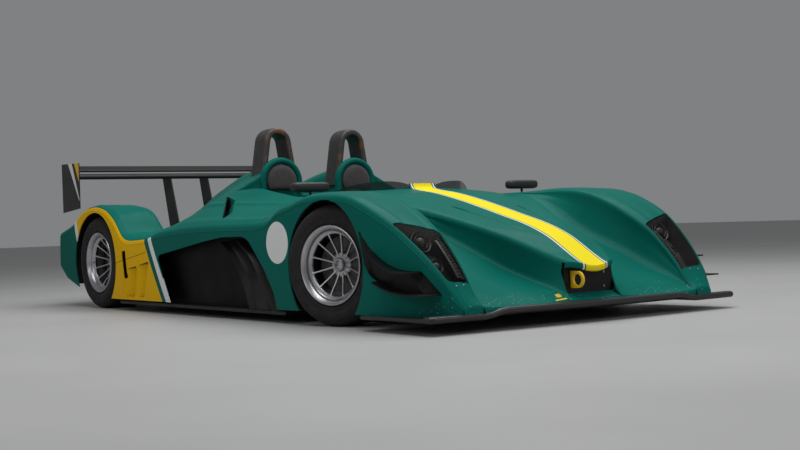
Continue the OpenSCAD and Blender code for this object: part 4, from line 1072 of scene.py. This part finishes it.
def side_half(s):
    return section_grid(s, rounded(side_points(s), SIDE_RADII, SIDE_FLATS, SIDE_BULGES))


def tail_cut(p):
    return outside(p[:, 0], p[:, 2], placed(TAIL_CUT))


def make_side(name, s, cuts):
    left = cut(patch(side_half(s)), cuts)
    for label, part in (("left", left), ("right", mirrored(left))):
        # The skin's inside faces are near-black as painted shade
        panel(f"{name}_{label}_skin", part, SKIN_T, "paint_green", [paint_side, painted_shade_black],
              f"{name}_{label}")


def make_sides():
    make_side("side_pod", np.linspace(FRONT_END - PANEL_GAP, POD_END + PANEL_GAP, 140),
              [side_cut(SIDE_OPENING), plan_cut(SCOOP, SCOOP_CUT_Z)])
    make_side("rear_wing", np.concatenate([np.linspace(*run) for run in REAR_RUNS]),
              [arch_cut(REAR_X, AXLE_Z, REAR_ARCH_R), tail_cut, side_cut(SLOT), *map(side_cut, LOUVRES)])


def bilinear(corners, u, v):
    """Place in a four-cornered patch: u runs from the first corner to the second, v to the last."""
    a, b, c, d = np.asarray(corners, float)
    return (a * (1 - u) + b * u) * (1 - v) + (d * (1 - u) + c * u) * v


def side_top(s, y):
    """Height of the body side's top."""
    row = side_half(np.array([float(s)]))[0]
    top = row[:sum(SIDE_FLATS[:3]) + 2 * CORNER_STEPS]
    return float(np.interp(y, top[:, 1], top[:, 2]))


def side_face(s, z):
    """Half width of the body side's outer face."""
    row = side_half(np.array([float(s)]))[0]
    low = row[sum(SIDE_FLATS[:3]) + 3 * CORNER_STEPS:][::-1]
    return float(np.interp(z, low[:, 2], low[:, 1]))


def make_scoop():
    """Outlet in the pod's top: a ramp that sinks to a wall; the wall and the ramp's deeper half are black as
    painted shade.
    """
    back, front_in, front_out, out = SCOOP
    steps = np.linspace(0, 1, 15)
    ramp = []
    for u in steps:
        row = [(*bilinear([front_in, front_out, out, back], u, v), v) for v in steps]
        ramp.append([spot(s, y, side_top(s, y) - RAMP_SINK - SCOOP_DEEP * v) for s, y, v in row])
    wall = [[[x, y, z], [x, y, z + SCOOP_DEEP - WALL_SINK]] for x, y, z in (row[-1] for row in ramp)]
    sides = [[[[x, y, z], [x, y, side_top(x - FRONT_X, y) - EDGE_SINK]] for x, y, z in row]
             for row in (ramp[0], ramp[-1])]
    split = round(SCOOP_GREEN_SHARE * (len(steps) - 1)) + 1
    ramp = np.array(ramp)
    green = join([patch(ramp[:, :split])] + [patch(side[:split]) for side in sides])
    # The wall and the deeper half of the ramp take the black of painted shade
    dark = join([patch(wall), patch(ramp[:, split - 1:])] + [patch(side[split - 1:]) for side in sides])
    panel("scoop_ramp", both(green), SHEET_T, "paint_green", [paint_cover])
    panel("scoop_shade_wall", both(dark), SHEET_T, "carbon_black", [painted_shade_black])


def make_louvres():
    """Sunk gills in the yellow panel: flush at the back, deep at the front, with walls round them that are
    black as painted shade.
    """
    gills, walls = [], []
    across = np.linspace(0, 1, 11)
    for corners in LOUVRES:
        places = [[bilinear(corners, u, v) for u in across] for v in across]
        flush = np.array([[spot(s, side_face(s, z), z) for s, z in row] for row in places])
        sunk = flush.copy()
        sunk[..., 1] -= LOUVRE_SINK + LOUVRE_DEEP * across ** LOUVRE_CURVE
        gills.append(clip(*patch(sunk), side_cut(SLOT)))
        for edge in (np.s_[0], np.s_[-1], np.s_[:, -1]):
            walls.append(patch(np.stack([sunk[edge], flush[edge] - [0, LOUVRE_SINK, 0]])))
    panel("panel_louvres", both(join(gills)), SHEET_T, "paint_green", [paint_yellow])
    # The gills' walls are black as painted shade
    panel("louvre_walls", both(join(walls)), LOUVRE_WALL_T, "carbon_black", [painted_shade_black])
    # A black plate behind the slot, as painted shade in the opening
    back = plate(SLOT_BACK, SLOT_BACK_Y - SHEET_T, SLOT_BACK_Y)
    piece(solid("panel_slot_back", twins([(*back, 0)])), "carbon_black", [painted_shade_black])


# Plates that close the gap behind the side recesses
RECESS_END = -1752, -1744, 58, 336, 800, 868


def make_recess_ends():
    piece(solid("recess_ends", twins([(*box(*RECESS_END), 0)])), "carbon_black", [recess_black])


# Engine cover
COVER_RADII = [24, 60, 70, 60, 120]
COVER_FLATS = [8, 5, 6, 6, 5, 10]
COVER_BULGES = [0, 0, 2, 2, 0, 0]
BULKHEAD_FOOT, BULKHEAD_INSET, BULKHEAD_T = 602, 8, 8
# Roll of the cover's front edge, as forward and inset
COVER_ROLL = (9, 26), (10, 14), (8, 5), (4, 1)


def cover_half(s):
    return section_grid(s, rounded(cover_points(s), COVER_RADII, COVER_FLATS, COVER_BULGES))


def make_cover():
    half = cover_half(np.concatenate([np.linspace(COCKPIT_BACK, POD_END, 40),
                                      np.linspace(POD_END - 8, TAIL_END, 130)]))
    normal = normals(half[0, :, 1:])
    roll = []
    for forward, inset in COVER_ROLL:
        row = half[0].copy()
        row[:, 0] += forward
        row[:, 1:] -= normal * inset
        row[:, 1] = np.maximum(row[:, 1], 0)
        roll.append(row)
    skin = patch(whole(np.concatenate([np.array(roll), half])))
    # The skin's inside faces are near-black as painted shade
    panel("engine_cover_skin", skin, SKIN_T, "paint_green", [paint_cover, painted_shade_black], "engine_cover")
    top = whole(half[:1])[0]
    rows = []
    for t in np.linspace(0, 1, 8):
        row = top.copy()
        row[:, 2] = (top[:, 2] - BULKHEAD_INSET) * (1 - t) + BULKHEAD_FOOT * t
        rows.append(row)
    panel("bulkhead", patch(rows), BULKHEAD_T, "paint_green", [paint_cover])


# Headrest collars, pads and roll hoops
COLLAR_Z, COLLAR_R, COLLAR_TUBE, COLLAR_FOOT, COLLAR_LEAD = 712, 118, 20, 655, 5
PAD_R, PAD_Z, PAD_FOOT, PAD_MIDDLE, PAD_GAP, PAD_FROM = 95, 714, 668, 708, 0.4, math.radians(-28)
# Pad's crown as [share of the outline, height], and its piping: share, lead and radius
PAD_CROWN = [[0.97, 0], [1.0, 5], [1.0, 15], [0.985, 21], [0.95, 26], [0.88, 29.5], [0.75, 31.8], [0.55, 33],
             [0.3, 33.6], [0.05, 33.8]]
PIPING_SHARE, PIPING_LEAD, PIPING_R = 0.955, 25.5, 2.2
HOOP_FOOT, HOOP_TOP, HOOP_CROWN, HOOP_SPREAD, HOOP_BAND = 690, 1019, 88, 128, 40
HOOP_POWER = 2 / 4.5


def arch(y, z, radius, foot, spread, count=40):
    """Line of an arch seen from the front, as [across, height]: legs that run into a half round."""
    lean = math.atan2(spread - radius, z - foot)
    a = np.linspace(math.pi - lean, lean, count)
    top = np.stack([y + radius * np.cos(a), z + radius * np.sin(a)], -1)
    t = np.linspace(0, 1, 9)[:-1, None]
    first = (1 - t) * [y - spread, foot] + t * top[0]
    return np.concatenate([first, top, (first * [-1, 1] + [2 * y, 0])[::-1]])


def make_headrests():
    face = at(COCKPIT_BACK)
    line_yz = arch(HOOP_Y, COLLAR_Z, COLLAR_R, COLLAR_FOOT, COLLAR_R + 0.01)
    collar = pipe(np.insert(line_yz, 0, face + COLLAR_LEAD, axis=1), (1, 0, 0), COLLAR_TUBE, 20)
    piece(solid("headrest_collars", twins([(*collar, 0)])), "paint_green", [paint_cover])
    a = np.linspace(PAD_FROM, math.pi - PAD_FROM, 49)
    outline = np.stack([PAD_R * np.cos(a), PAD_Z + PAD_R * np.sin(a)], -1)
    outline = np.concatenate([outline, np.linspace(outline[-1], outline[0], 13)[1:-1]])
    outline[:, 1] = np.maximum(outline[:, 1], PAD_FOOT)

    def ring(share, lead):
        middle = np.array([0, PAD_MIDDLE])
        return np.insert(middle + (outline - middle) * share + [HOOP_Y, 0], 0, face + lead, axis=1)

    pad = tube([ring(share, PAD_GAP + height) for share, height in PAD_CROWN])
    seam = ring(PIPING_SHARE, PIPING_LEAD)
    seam = pipe(np.concatenate([seam, seam[:1]]), (1, 0, 0), PIPING_R, 8)
    obj = solid("headrest_pads", twins([(*pad, 0), (*seam, 1)]), 50)
    piece(obj, "pad_dark", [pad_cloth, piping_grey], "headrests")


def make_hoops():
    """Bands bent to a hoop, with well rounded edges."""
    line_yz = arch(HOOP_Y, HOOP_TOP - HOOP_CROWN, HOOP_CROWN - HOOP_BAND / 2, HOOP_FOOT,
                   HOOP_SPREAD - HOOP_BAND / 2)
    thick, deep = squared_ring(32, HOOP_POWER)
    rings = []
    for p, away in zip(line_yz, normals(line_yz)):
        flat = p + away * thick[:, None] * HOOP_BAND / 2
        rings.append(np.insert(flat, 0, HOOP_X + deep * HOOP_DEPTH / 2, axis=1))
    piece(solid("roll_hoops", twins([(*tube(rings), 0)]), 50), "black_satin", [hoop_coating], "hoops")


# Black blades in the side recess
RECESS_FOOT = 56
BLADES = [[[-1010, 393], [-890, 304], [-788, 174], [-731, RECESS_FOOT]],
          [[-906, 400], [-739, 240], [-670, 130], [-634, RECESS_FOOT]],
          [[-815, 405], [-670, 305], [-553, 157], [-478, RECESS_FOOT]]]
BLADE_RISE = [34, 44, 54]
BLADE_W, BLADE_T, BLADE_ROOT, BLADE_CURVE = 70, 5, 813.1, 1.4


def make_blades():
    parts = []
    for edge, rise in zip(BLADES, BLADE_RISE):
        parts.append(patch([[spot(s + BLADE_W * t, BLADE_ROOT + rise * (1 - t) ** BLADE_CURVE, z)
                             for t in np.linspace(0, 1, 12)] for s, z in curve(edge, 40)]))
    panel("side_blades", both(join(parts)), BLADE_T, "carbon_black", [blade_black], "side_vanes")


# Black sheets in the wheel openings, as painted shade of the wells: station, radius, half widths and angles
# from and to
WELL_SHADE_SHEETS = [[-2538, 316, 606, 874, -36, 205], [5, 306, 640, 850, -22, 202]]
WELL_SHADE_T = 2.5


def make_well_shades():
    parts = []
    for s, radius, near, far, start, end in WELL_SHADE_SHEETS:
        a = np.radians(np.linspace(start, end, 70))
        parts.append(patch([[spot(s + radius * math.cos(t), y, AXLE_Z + radius * math.sin(t))
                             for y in np.linspace(near, far, 4)] for t in a]))
    panel("wheel_well_shades", both(join(parts)), WELL_SHADE_T, "interior_black", [painted_shade_black])


# Upturned end of the stripe at the cockpit
COWL_LIP = [[-372, 0.5], [-379, 3.5], [-385, 9], [-390, 16], [-394, 25]]
COWL_HALF, COWL_LIP_T = 84, 4


def make_cowl_lip():
    y = np.linspace(-COWL_HALF, COWL_HALF, 43)
    rows = [[spot(s, v, front_top(s, abs(v)) + rise) for v in y] for s, rise in curve(COWL_LIP, 15)]
    panel("cowl_lip", patch(rows), COWL_LIP_T, "paint_green", [paint_front])


# Mirrors
MIRROR_S, MIRROR_Y, MIRROR_Z = -393, 681, 646
MIRROR_HALF = (32, 104, 24)
MIRROR_POWER, MIRROR_END, MIRROR_ROUND = 2 / 3.2, 9, 0.4
# Stalk as [radius, height above the front wing], and how far below the mirror's middle it stops
STALK = [[0.1, 2], [13, 2], [13, 5], [8, 9], [5.5, 14], [5.5, 22], [8, 24], [8, 28], [5.5, 30], [5.5, 44],
         [0.1, 44]]
STALK_DROP = 10


def make_mirrors():
    deep, wide, high = MIRROR_HALF
    ring_x, ring_z = squared_ring(28, MIRROR_POWER)
    rings = []
    for v in np.sin(np.linspace(-1, 1, 25) * math.pi / 2):
        size = max(1 - abs(v) ** MIRROR_END, 0.002) ** MIRROR_ROUND
        rings.append([spot(MIRROR_S + deep * size * x, MIRROR_Y + wide * v, MIRROR_Z + high * size * z)
                      for x, z in zip(ring_x, ring_z)])
    foot = fender_height(MIRROR_S, MIRROR_Y)
    stalk = tube([[spot(MIRROR_S + r * math.cos(a), MIRROR_Y + r * math.sin(a),
                        min(foot + h, MIRROR_Z - STALK_DROP)) for a in around(20)] for r, h in STALK])
    parts = twins([(*tube(rings), 0), (*stalk, 1)])
    piece(solid("mirror_bars", parts), "interior_black", [mirror_black, satin_black], "mirrors")


# Seats: a line down the back and along the cushion, with raised bolsters and shallow flutes
SEAT_Y, SEAT_HALF, SEAT_T = 252, 188, 12
SEAT_LINE = [[-862, 128], [-960, 121], [-1080, 122], [-1180, 133], [-1240, 160], [-1278, 230], [-1305, 380],
             [-1328, 552]]
BOLSTER_RISE, BOLSTER_FROM, BOLSTER_CURVE = 42, 0.55, 1.6
FLUTE_RISE, FLUTES = 3, 9


def seat_rise(t):
    """Height of the padding across the seat, from -1 to 1."""
    bolster = max((abs(t) - BOLSTER_FROM) / (1 - BOLSTER_FROM), 0) ** BOLSTER_CURVE
    return BOLSTER_RISE * bolster + FLUTE_RISE * math.cos(t * FLUTES)


def make_seats():
    back = curve(SEAT_LINE, 46)
    across = [(SEAT_Y + SEAT_HALF * t, seat_rise(t)) for t in np.linspace(-1, 1, 31)]
    grid = []
    for p, n in zip(back, normals(back)):
        rows = [(*(p - n * rise), y) for y, rise in across]
        grid.append([spot(s, y, z) for s, z, y in rows])
    obj = panel("seat_shells", both(patch(grid)), SEAT_T, "interior_black", [pad_cloth], "seat")


# Lamps
LENS_GAP, LENS_T = 1.5, 4
LAMP_STATIONS = 790, 470, -6.0
BAY_DROP = 112
BIG_LAMP, SMALL_LAMP = (554, 734, 374), (643, 722, 272)
FLOOR_PLAN = [[764, 650], [770, 728], [764, 736], [700, 762], [606, 790], [520, 806], [560, 640]]
LAMP_LEAN = math.radians(28)
LED_COUNT, LED_R = 15, 4.6
LED_FROM, LED_TO, LED_IN, LED_DROP = 575, 735, 24, 24
# Inner edge of the lamp, as [station, half width], and the shelf that carries the small lights along it
LED_EDGE = [[554, 632], [751, 645]]
SHELF_Y, SHELF_DROP = (4, 18, 32, 44), LED_DROP + 3
LAMP_AXIS = math.cos(LAMP_LEAN), 0, math.sin(LAMP_LEAN)
# Lamps: radius, depth and rim of the bowl, the ring round the bulb, and the bulb's radius and place
BIG_BOWL, SMALL_BOWL = (52, 24, 9), (33, 16, 5)
BIG_RING = [[35, -12], [35, 0], [32, 3.5], [29, 0], [29, -12]]
SMALL_RING = [[27, -10], [27, -1], [25, 1], [23, -1], [23, -10]]
BIG_BULB, SMALL_BULB = (27, -13), (22, -11)
# The big lamp's ring, which is chrome, is pale white as a painted highlight; the bulbs and small lights take
# the pale finishes of painted highlights too
LAMP_FINISH = [lamp_dark, lamp_rim, chrome, glass_highlight, highlight_white]
DARK, RIM, CHROME, GLASS_HIGHLIGHT, PALE_HIGHLIGHT = range(5)


def fender_patch(s, drop=0.0):
    """Points of the front wing's top between its ridge and its edge."""
    first = sum(FRONT_FLATS[:4]) + 3 * CORNER_STEPS
    last = first + sum(FRONT_FLATS[4:6]) + 3 * CORNER_STEPS
    return front_half(s)[:, first:last] - [0, 0, drop]


def shrunk(outline, gap):
    centre = np.mean(outline, 0)
    out = []
    for p in np.asarray(outline, float):
        away = p - centre
        out.append((p - away / np.linalg.norm(away) * gap).tolist())
    return out


def lamp_keep(outline):
    shape = placed(shrunk(outline, LENS_GAP))
    return lambda p: -outside(p[:, 0], np.abs(p[:, 1]), shape)


def fender_height(s, y):
    top = fender_patch(np.array([float(s)]))[0]
    return float(np.interp(y, top[:, 1], top[:, 2]))


def even_ring(outline, count):
    """Points at even steps around a closed outline."""
    closed = np.asarray([*outline, outline[0]], float)
    far = np.concatenate([[0], np.cumsum(np.linalg.norm(np.diff(closed, axis=0), axis=1))])
    steps = np.linspace(0, far[-1], count, endpoint=False)
    return np.stack([np.interp(steps, far, closed[:, k]) for k in range(2)], -1)


def bay_wall():
    """Side walls of a lamp bay, from its opening down to its floor."""
    rows = []
    for plan, drop in ((LAMP_PLAN, SKIN_T), (LAMP_PLAN, SKIN_T + 3), (FLOOR_PLAN, BAY_DROP + 2)):
        ring = even_ring(shrunk(plan, LENS_GAP), 96)
        rows.append([spot(s, y, fender_height(s, y) - drop) for s, y in ring])
    return tube(rows, caps=False)


def ball(radius, place):
    a = np.linspace(math.pi / 2, -0.3, 8)
    round_side = [[max(radius * math.cos(t), 0.05), place + radius * math.sin(t)] for t in a]
    return [*round_side, [0.05, place - radius * 0.3]]


def lamp(place, bowl, ring, ring_kind, bulb, bulb_kind):
    """Rolled rim, deep bowl, ring and bulb of a lamp, turned along its axis."""
    radius, depth, rim = bowl
    neck = radius - rim
    roll = [[radius, -depth], [radius, 0], [radius - rim * 0.4, rim * 0.5], [neck, 0], [neck, -4],
            [neck, -depth]]
    dish = [[neck - 1, -2], [neck * 0.8, -depth * 0.6], [0.1, -depth * 0.85], [0.1, -depth],
            [radius - 2, -depth]]
    profiles = (roll, RIM), (dish, RIM), (ring, ring_kind), (ball(*bulb), bulb_kind)
    return [(*turned(lathe(profile, 48), spot(*place), LAMP_AXIS), kind) for profile, kind in profiles]


def make_lamps():
    s = np.arange(*LAMP_STATIONS)
    lens = clip(*patch(fender_patch(s)), lamp_keep(LAMP_PLAN))
    panel("lamp_lens", both(lens), LENS_T, "lens_clear", [lens_clear], "lamp_lenses")
    parts = [(*clip(*patch(fender_patch(s, BAY_DROP)), lamp_keep(FLOOR_PLAN)), DARK), (*bay_wall(), DARK)]
    parts += lamp(BIG_LAMP, BIG_BOWL, BIG_RING, PALE_HIGHLIGHT, BIG_BULB, GLASS_HIGHLIGHT)
    parts += lamp(SMALL_LAMP, SMALL_BOWL, SMALL_RING, CHROME, SMALL_BULB, PALE_HIGHLIGHT)
    shelf = []
    for t in np.linspace(LED_FROM, LED_TO, 24):
        places = [table(LED_EDGE, t) + w for w in SHELF_Y]
        shelf.append([spot(t, y, fender_height(t, y) - SHELF_DROP) for y in places])
    parts.append((*patch(shelf), RIM))
    for t in np.linspace(LED_FROM, LED_TO, LED_COUNT):
        y = table(LED_EDGE, t) + LED_IN
        place = spot(t, y, fender_height(t, y) - LED_DROP)
        parts.append((*turned(lathe(ball(LED_R, 0), 14), place, LAMP_AXIS), GLASS_HIGHLIGHT))
    piece(solid("lamp_bay", twins(parts), closed=False), "lamp_dark", LAMP_FINISH, "lamp_bays")


# Wheels, drawn along Y from the rim's middle plane outwards
RIM_R, FLANGE_H, BARREL_T, FLANGE_T = 165.5, 17, 7, 10
TYRE_R, BEAD_GAP = 278, 0.4
SPOKES, SPOKE_TURN = 12, 15
HUB_R, HUB_IN, HUB_OUT, BORE_R = 58, 5, 29, 26
NUT_R, NUT_OUT = 31, 46
KINGPIN_OUT = 31.5
# Each wheel's tyre width and rim width
FRONT_WHEEL, REAR_WHEEL = (210, 185), (270, 230)
RIM_DISH = 40
# Spoke's half width and half depth by its distance from the axle
SPOKE_AT, SPOKE_WIDE, SPOKE_DEEP = [38, 90, 130, 148], [5.5, 4.6, 4.4, 7.5], [7, 6.5, 6, 7]
SPOKE_POWER = 0.7
STEM_R = 3
# Raised lines on the tyre's wall: heights above the bead, how far they stand out and how wide they are
WALL_LINES, LINE_RISE, LINE_WIDE = (30, 33.5, 66, 80), 0.9, 1.6
BARE, SPOKE, NUT, HUB = range(4)
RIM_FINISH = [rim_metal, spoke_metal, hub_metal, dark_metal]


def spokes(path):
    """Spokes along a path of [distance from the axle, place along it]."""
    wide, deep = (np.interp(path[:, 0], SPOKE_AT, row)[:, None] for row in (SPOKE_WIDE, SPOKE_DEEP))
    across, along = squared_ring(12, SPOKE_POWER)
    across, along = wide * across, path[:, 1:] + deep * along
    parts = []
    for i in range(SPOKES):
        turn = math.radians(360 / SPOKES * i + SPOKE_TURN)
        x = path[:, :1] * math.cos(turn) - across * math.sin(turn)
        z = path[:, :1] * math.sin(turn) + across * math.cos(turn)
        parts.append((*tube(np.stack([x, along, z], -1)), SPOKE))
    return parts


def rim_parts(rim_w):
    half, edge, inner = rim_w / 2, RIM_R + FLANGE_H, RIM_R - BARREL_T
    face = half + FLANGE_T
    dish = face - RIM_DISH
    barrel = [[inner, -face], [edge - 3, -face], [edge, -face + 3], [edge, -half], [RIM_R, -half],
              [RIM_R, half], [edge, half], [edge + 0.6, half + 5], [edge - 1.5, face - 1], [edge - 5, face],
              [edge - 9, face - 2], [inner + 6, face - 12], [inner + 1, face - 18], [inner - 1, dish + 12],
              [inner - 8, dish + 5], [inner - 14, dish + 2], [inner - 17, dish - 3], [inner - 14, dish - 9],
              [inner - 4, dish - 22]]
    hub = [[BORE_R, HUB_IN], [HUB_R - 2, HUB_IN], [HUB_R, HUB_IN + 2], [HUB_R, HUB_OUT - 7],
           [HUB_R - 5, HUB_OUT - 2], [NUT_R + 8, HUB_OUT], [NUT_R, HUB_OUT], [BORE_R, HUB_OUT]]
    nut = [[17, HUB_OUT - 1], [NUT_R + 2, HUB_OUT - 1], [NUT_R + 2, HUB_OUT + 4], [NUT_R - 1, NUT_OUT - 3],
           [NUT_R - 4, NUT_OUT], [21, NUT_OUT], [17, NUT_OUT - 8]]
    cap = [[0.1, HUB_OUT - 1], [17.5, HUB_OUT - 1], [17.5, NUT_OUT - 9], [0.1, NUT_OUT - 6]]
    parts = [(*lathe(profile, turns), kind) for profile, turns, kind in (
        (barrel, 128, BARE), (hub, 64, HUB), (nut, 12, NUT), (cap, 24, HUB))]
    root, end = HUB_OUT - 5, dish - 4
    parts += spokes(curve([[HUB_R - 20, root], [85, root * 0.68 + end * 0.32 + 2],
                           [118, root * 0.33 + end * 0.67 + 3], [inner - 12, dish - 3]], 9))
    stem = [[inner - 10, dish - 10, 0], [inner - 20, dish + 8, 0], [inner - 24, dish + 16, 0]]
    return parts + [(*pipe(stem, (0, 0, 1), STEM_R, 8), HUB)]


def tyre_profile(tyre_w, rim_w):
    half, b, r = tyre_w / 2, rim_w / 2 - BEAD_GAP, RIM_R + BEAD_GAP
    wall = curve([[r + 19, b], [r + 25, b + 7], [r + 44, half - 4], [r + 62, half - 0.5],
                  [TYRE_R - 26, half - 4.5], [TYRE_R - 9, half - 18], [TYRE_R - 2, half - 34],
                  [TYRE_R, half - 52]], 44)
    for height in WALL_LINES:
        wall[:, 1] += LINE_RISE * np.exp(-((wall[:, 0] - r - height) / LINE_WIDE) ** 2)
    outer = np.concatenate([[[r, b]], wall])
    return np.concatenate([outer, outer[::-1] * [1, -1]])


def make_wheel(label, sizes, offset):
    """Rim and tyre of one corner; its joint gives the axle, the offset the middle plane."""
    joint, body = joints[f"spin_{label}"], f"wheel_{label}"
    axis = np.array(joint["axis"], float)
    out = axis if label.endswith("left") else -axis
    place = np.array(joint["pos_m"]) / MM + out * offset
    rim = [(*turned((p, f), place, out), kind) for p, f, kind in rim_parts(sizes[1])]
    piece(solid(f"{body}_rim", rim), "rim_silver", RIM_FINISH, f"rim_{label}", body=body)
    tyre = turned(lathe(tyre_profile(*sizes), 160), place, out)
    piece(solid(f"{body}_tyre", [(*tyre, 0)], 40), "tyre_black", [tyre_rubber], f"tyre_{label}", body=body)


def make_wheels():
    for side in ("left", "right"):
        make_wheel(f"front_{side}", FRONT_WHEEL, KINGPIN_OUT)
        make_wheel(f"rear_{side}", REAR_WHEEL, -REAR_WHEEL[1] / 2 - FLANGE_T)


make_front_body()
make_nose_edge()
make_nose()
make_marker()
make_splitter()
make_slats()
make_sides()
make_scoop()
make_louvres()
make_recess_ends()
make_cover()
make_headrests()
make_hoops()
make_blades()
make_well_shades()
make_cowl_lip()
make_mirrors()
make_seats()
make_lamps()
make_wheels()

# Finishes of the solids that stay as they are
FINISH = [
    (carbon_black, ["floor_tray", "wing_main", "wing_flap", "wing_pylons", "tail_panel"]),
    (blade_black, ["canards", "nose_panel"]),
    (recess_black, ["side_panels"]),
    (plate_black, ["endplates"]),
    (tow_yellow, ["tow_eye"]),
    (cockpit_black, ["tub", "dash", "steering_wheel"]),
    (screen_smoke, ["windscreen"]),
    (cast_grey, ["engine", "gearbox", "upright_front_left", "upright_front_right"]),
    (steel_dark, ["front_suspension", "rear_suspension"]),
    (disc_iron, ["disc_front_left", "disc_front_right", "disc_rear_left", "disc_rear_right"]),
]
for finish, names in FINISH:
    for name in names:
        dress(nodes[name], finish)

# Camera at the photograph's angle: place in metres, turn in degrees and lens in millimetres
CAMERA_PLACE = 6.1636, -4.078, 0.4634
YAW, PITCH, ROLL = 53.844, -0.136, -1.921
LENS, SENSOR, FAR = 58.93, 36, 200
# Floor, background and light
FLOOR_HALF, FLOOR_DARK, FLOOR_PALE = 40, (0.36, 0.36, 0.36), (0.40, 0.40, 0.40)
WORLD_TINT, WORLD_POWER = (0.60, 0.61, 0.62, 1), 0.36
# Soft lights: name, place, aim, size in metres and power in watts
LIGHTS = [("overhead", (0.6, 0.3, 5.6), (0.2, 0, 0), (8.0, 5.0), 430),
          ("front", (7.0, 2.0, 3.4), (1.0, 0, 0.4), (3.5, 2.0), 60),
          ("right", (1.5, -7.0, 3.0), (0, 0, 0.4), (6.0, 1.6), 40)]


def make_camera():
    yaw, pitch, roll = (math.radians(a) for a in (YAW, PITCH, ROLL))
    side = Vector((math.cos(yaw), math.sin(yaw), 0))
    level = Vector((-math.sin(yaw), math.cos(yaw), 0))
    up = Vector((0, 0, 1))
    ahead = level * math.cos(pitch) + up * math.sin(pitch)
    top = up * math.cos(pitch) - level * math.sin(pitch)
    right = side * math.cos(roll) + top * math.sin(roll)
    over = top * math.cos(roll) - side * math.sin(roll)
    data = bpy.data.cameras.new("camera")
    data.lens = LENS
    data.sensor_width = SENSOR
    data.clip_end = FAR
    cam = bpy.data.objects.new("camera", data)
    bpy.context.scene.collection.objects.link(cam)
    columns = right, over, -ahead, Vector(CAMERA_PLACE)
    cam.matrix_world = Matrix([[c[k] for c in columns] for k in range(3)] + [[0, 0, 0, 1]])
    bpy.context.scene.camera = cam


def make_stage():
    mesh = bpy.data.meshes.new("floor")
    corners = [(x * FLOOR_HALF, y * FLOOR_HALF, 0) for x, y in ((-1, -1), (1, -1), (1, 1), (-1, 1))]
    mesh.from_pydata(corners, [], [(0, 1, 2, 3)])
    floor = bpy.data.objects.new("floor", mesh)
    bpy.context.scene.collection.objects.link(floor)
    sh = Shader("floor_pale")
    coords, _ = sh.place()
    sh.set(Base_Color=sh.mix(sh.vary(coords, 0.8), FLOOR_DARK, FLOOR_PALE), Roughness=0.5)
    mesh.materials.append(sh.material)
    world = bpy.data.worlds.new("studio")
    world.use_nodes = True
    back = world.node_tree.nodes["Background"]
    back.inputs[0].default_value = WORLD_TINT
    back.inputs[1].default_value = WORLD_POWER
    bpy.context.scene.world = world


def area(name, place, target, size, power):
    data = bpy.data.lights.new(name, "AREA")
    data.shape = "RECTANGLE"
    data.size, data.size_y = size
    data.energy = power
    lamp = bpy.data.objects.new(name, data)
    bpy.context.scene.collection.objects.link(lamp)
    lamp.location = place
    lamp.rotation_mode = "QUATERNION"
    lamp.rotation_quaternion = (Vector(target) - Vector(place)).to_track_quat("-Z", "Y")


make_camera()
make_stage()
for light in LIGHTS:
    area(*light)
bpy.context.scene.view_settings.view_transform = "Standard"
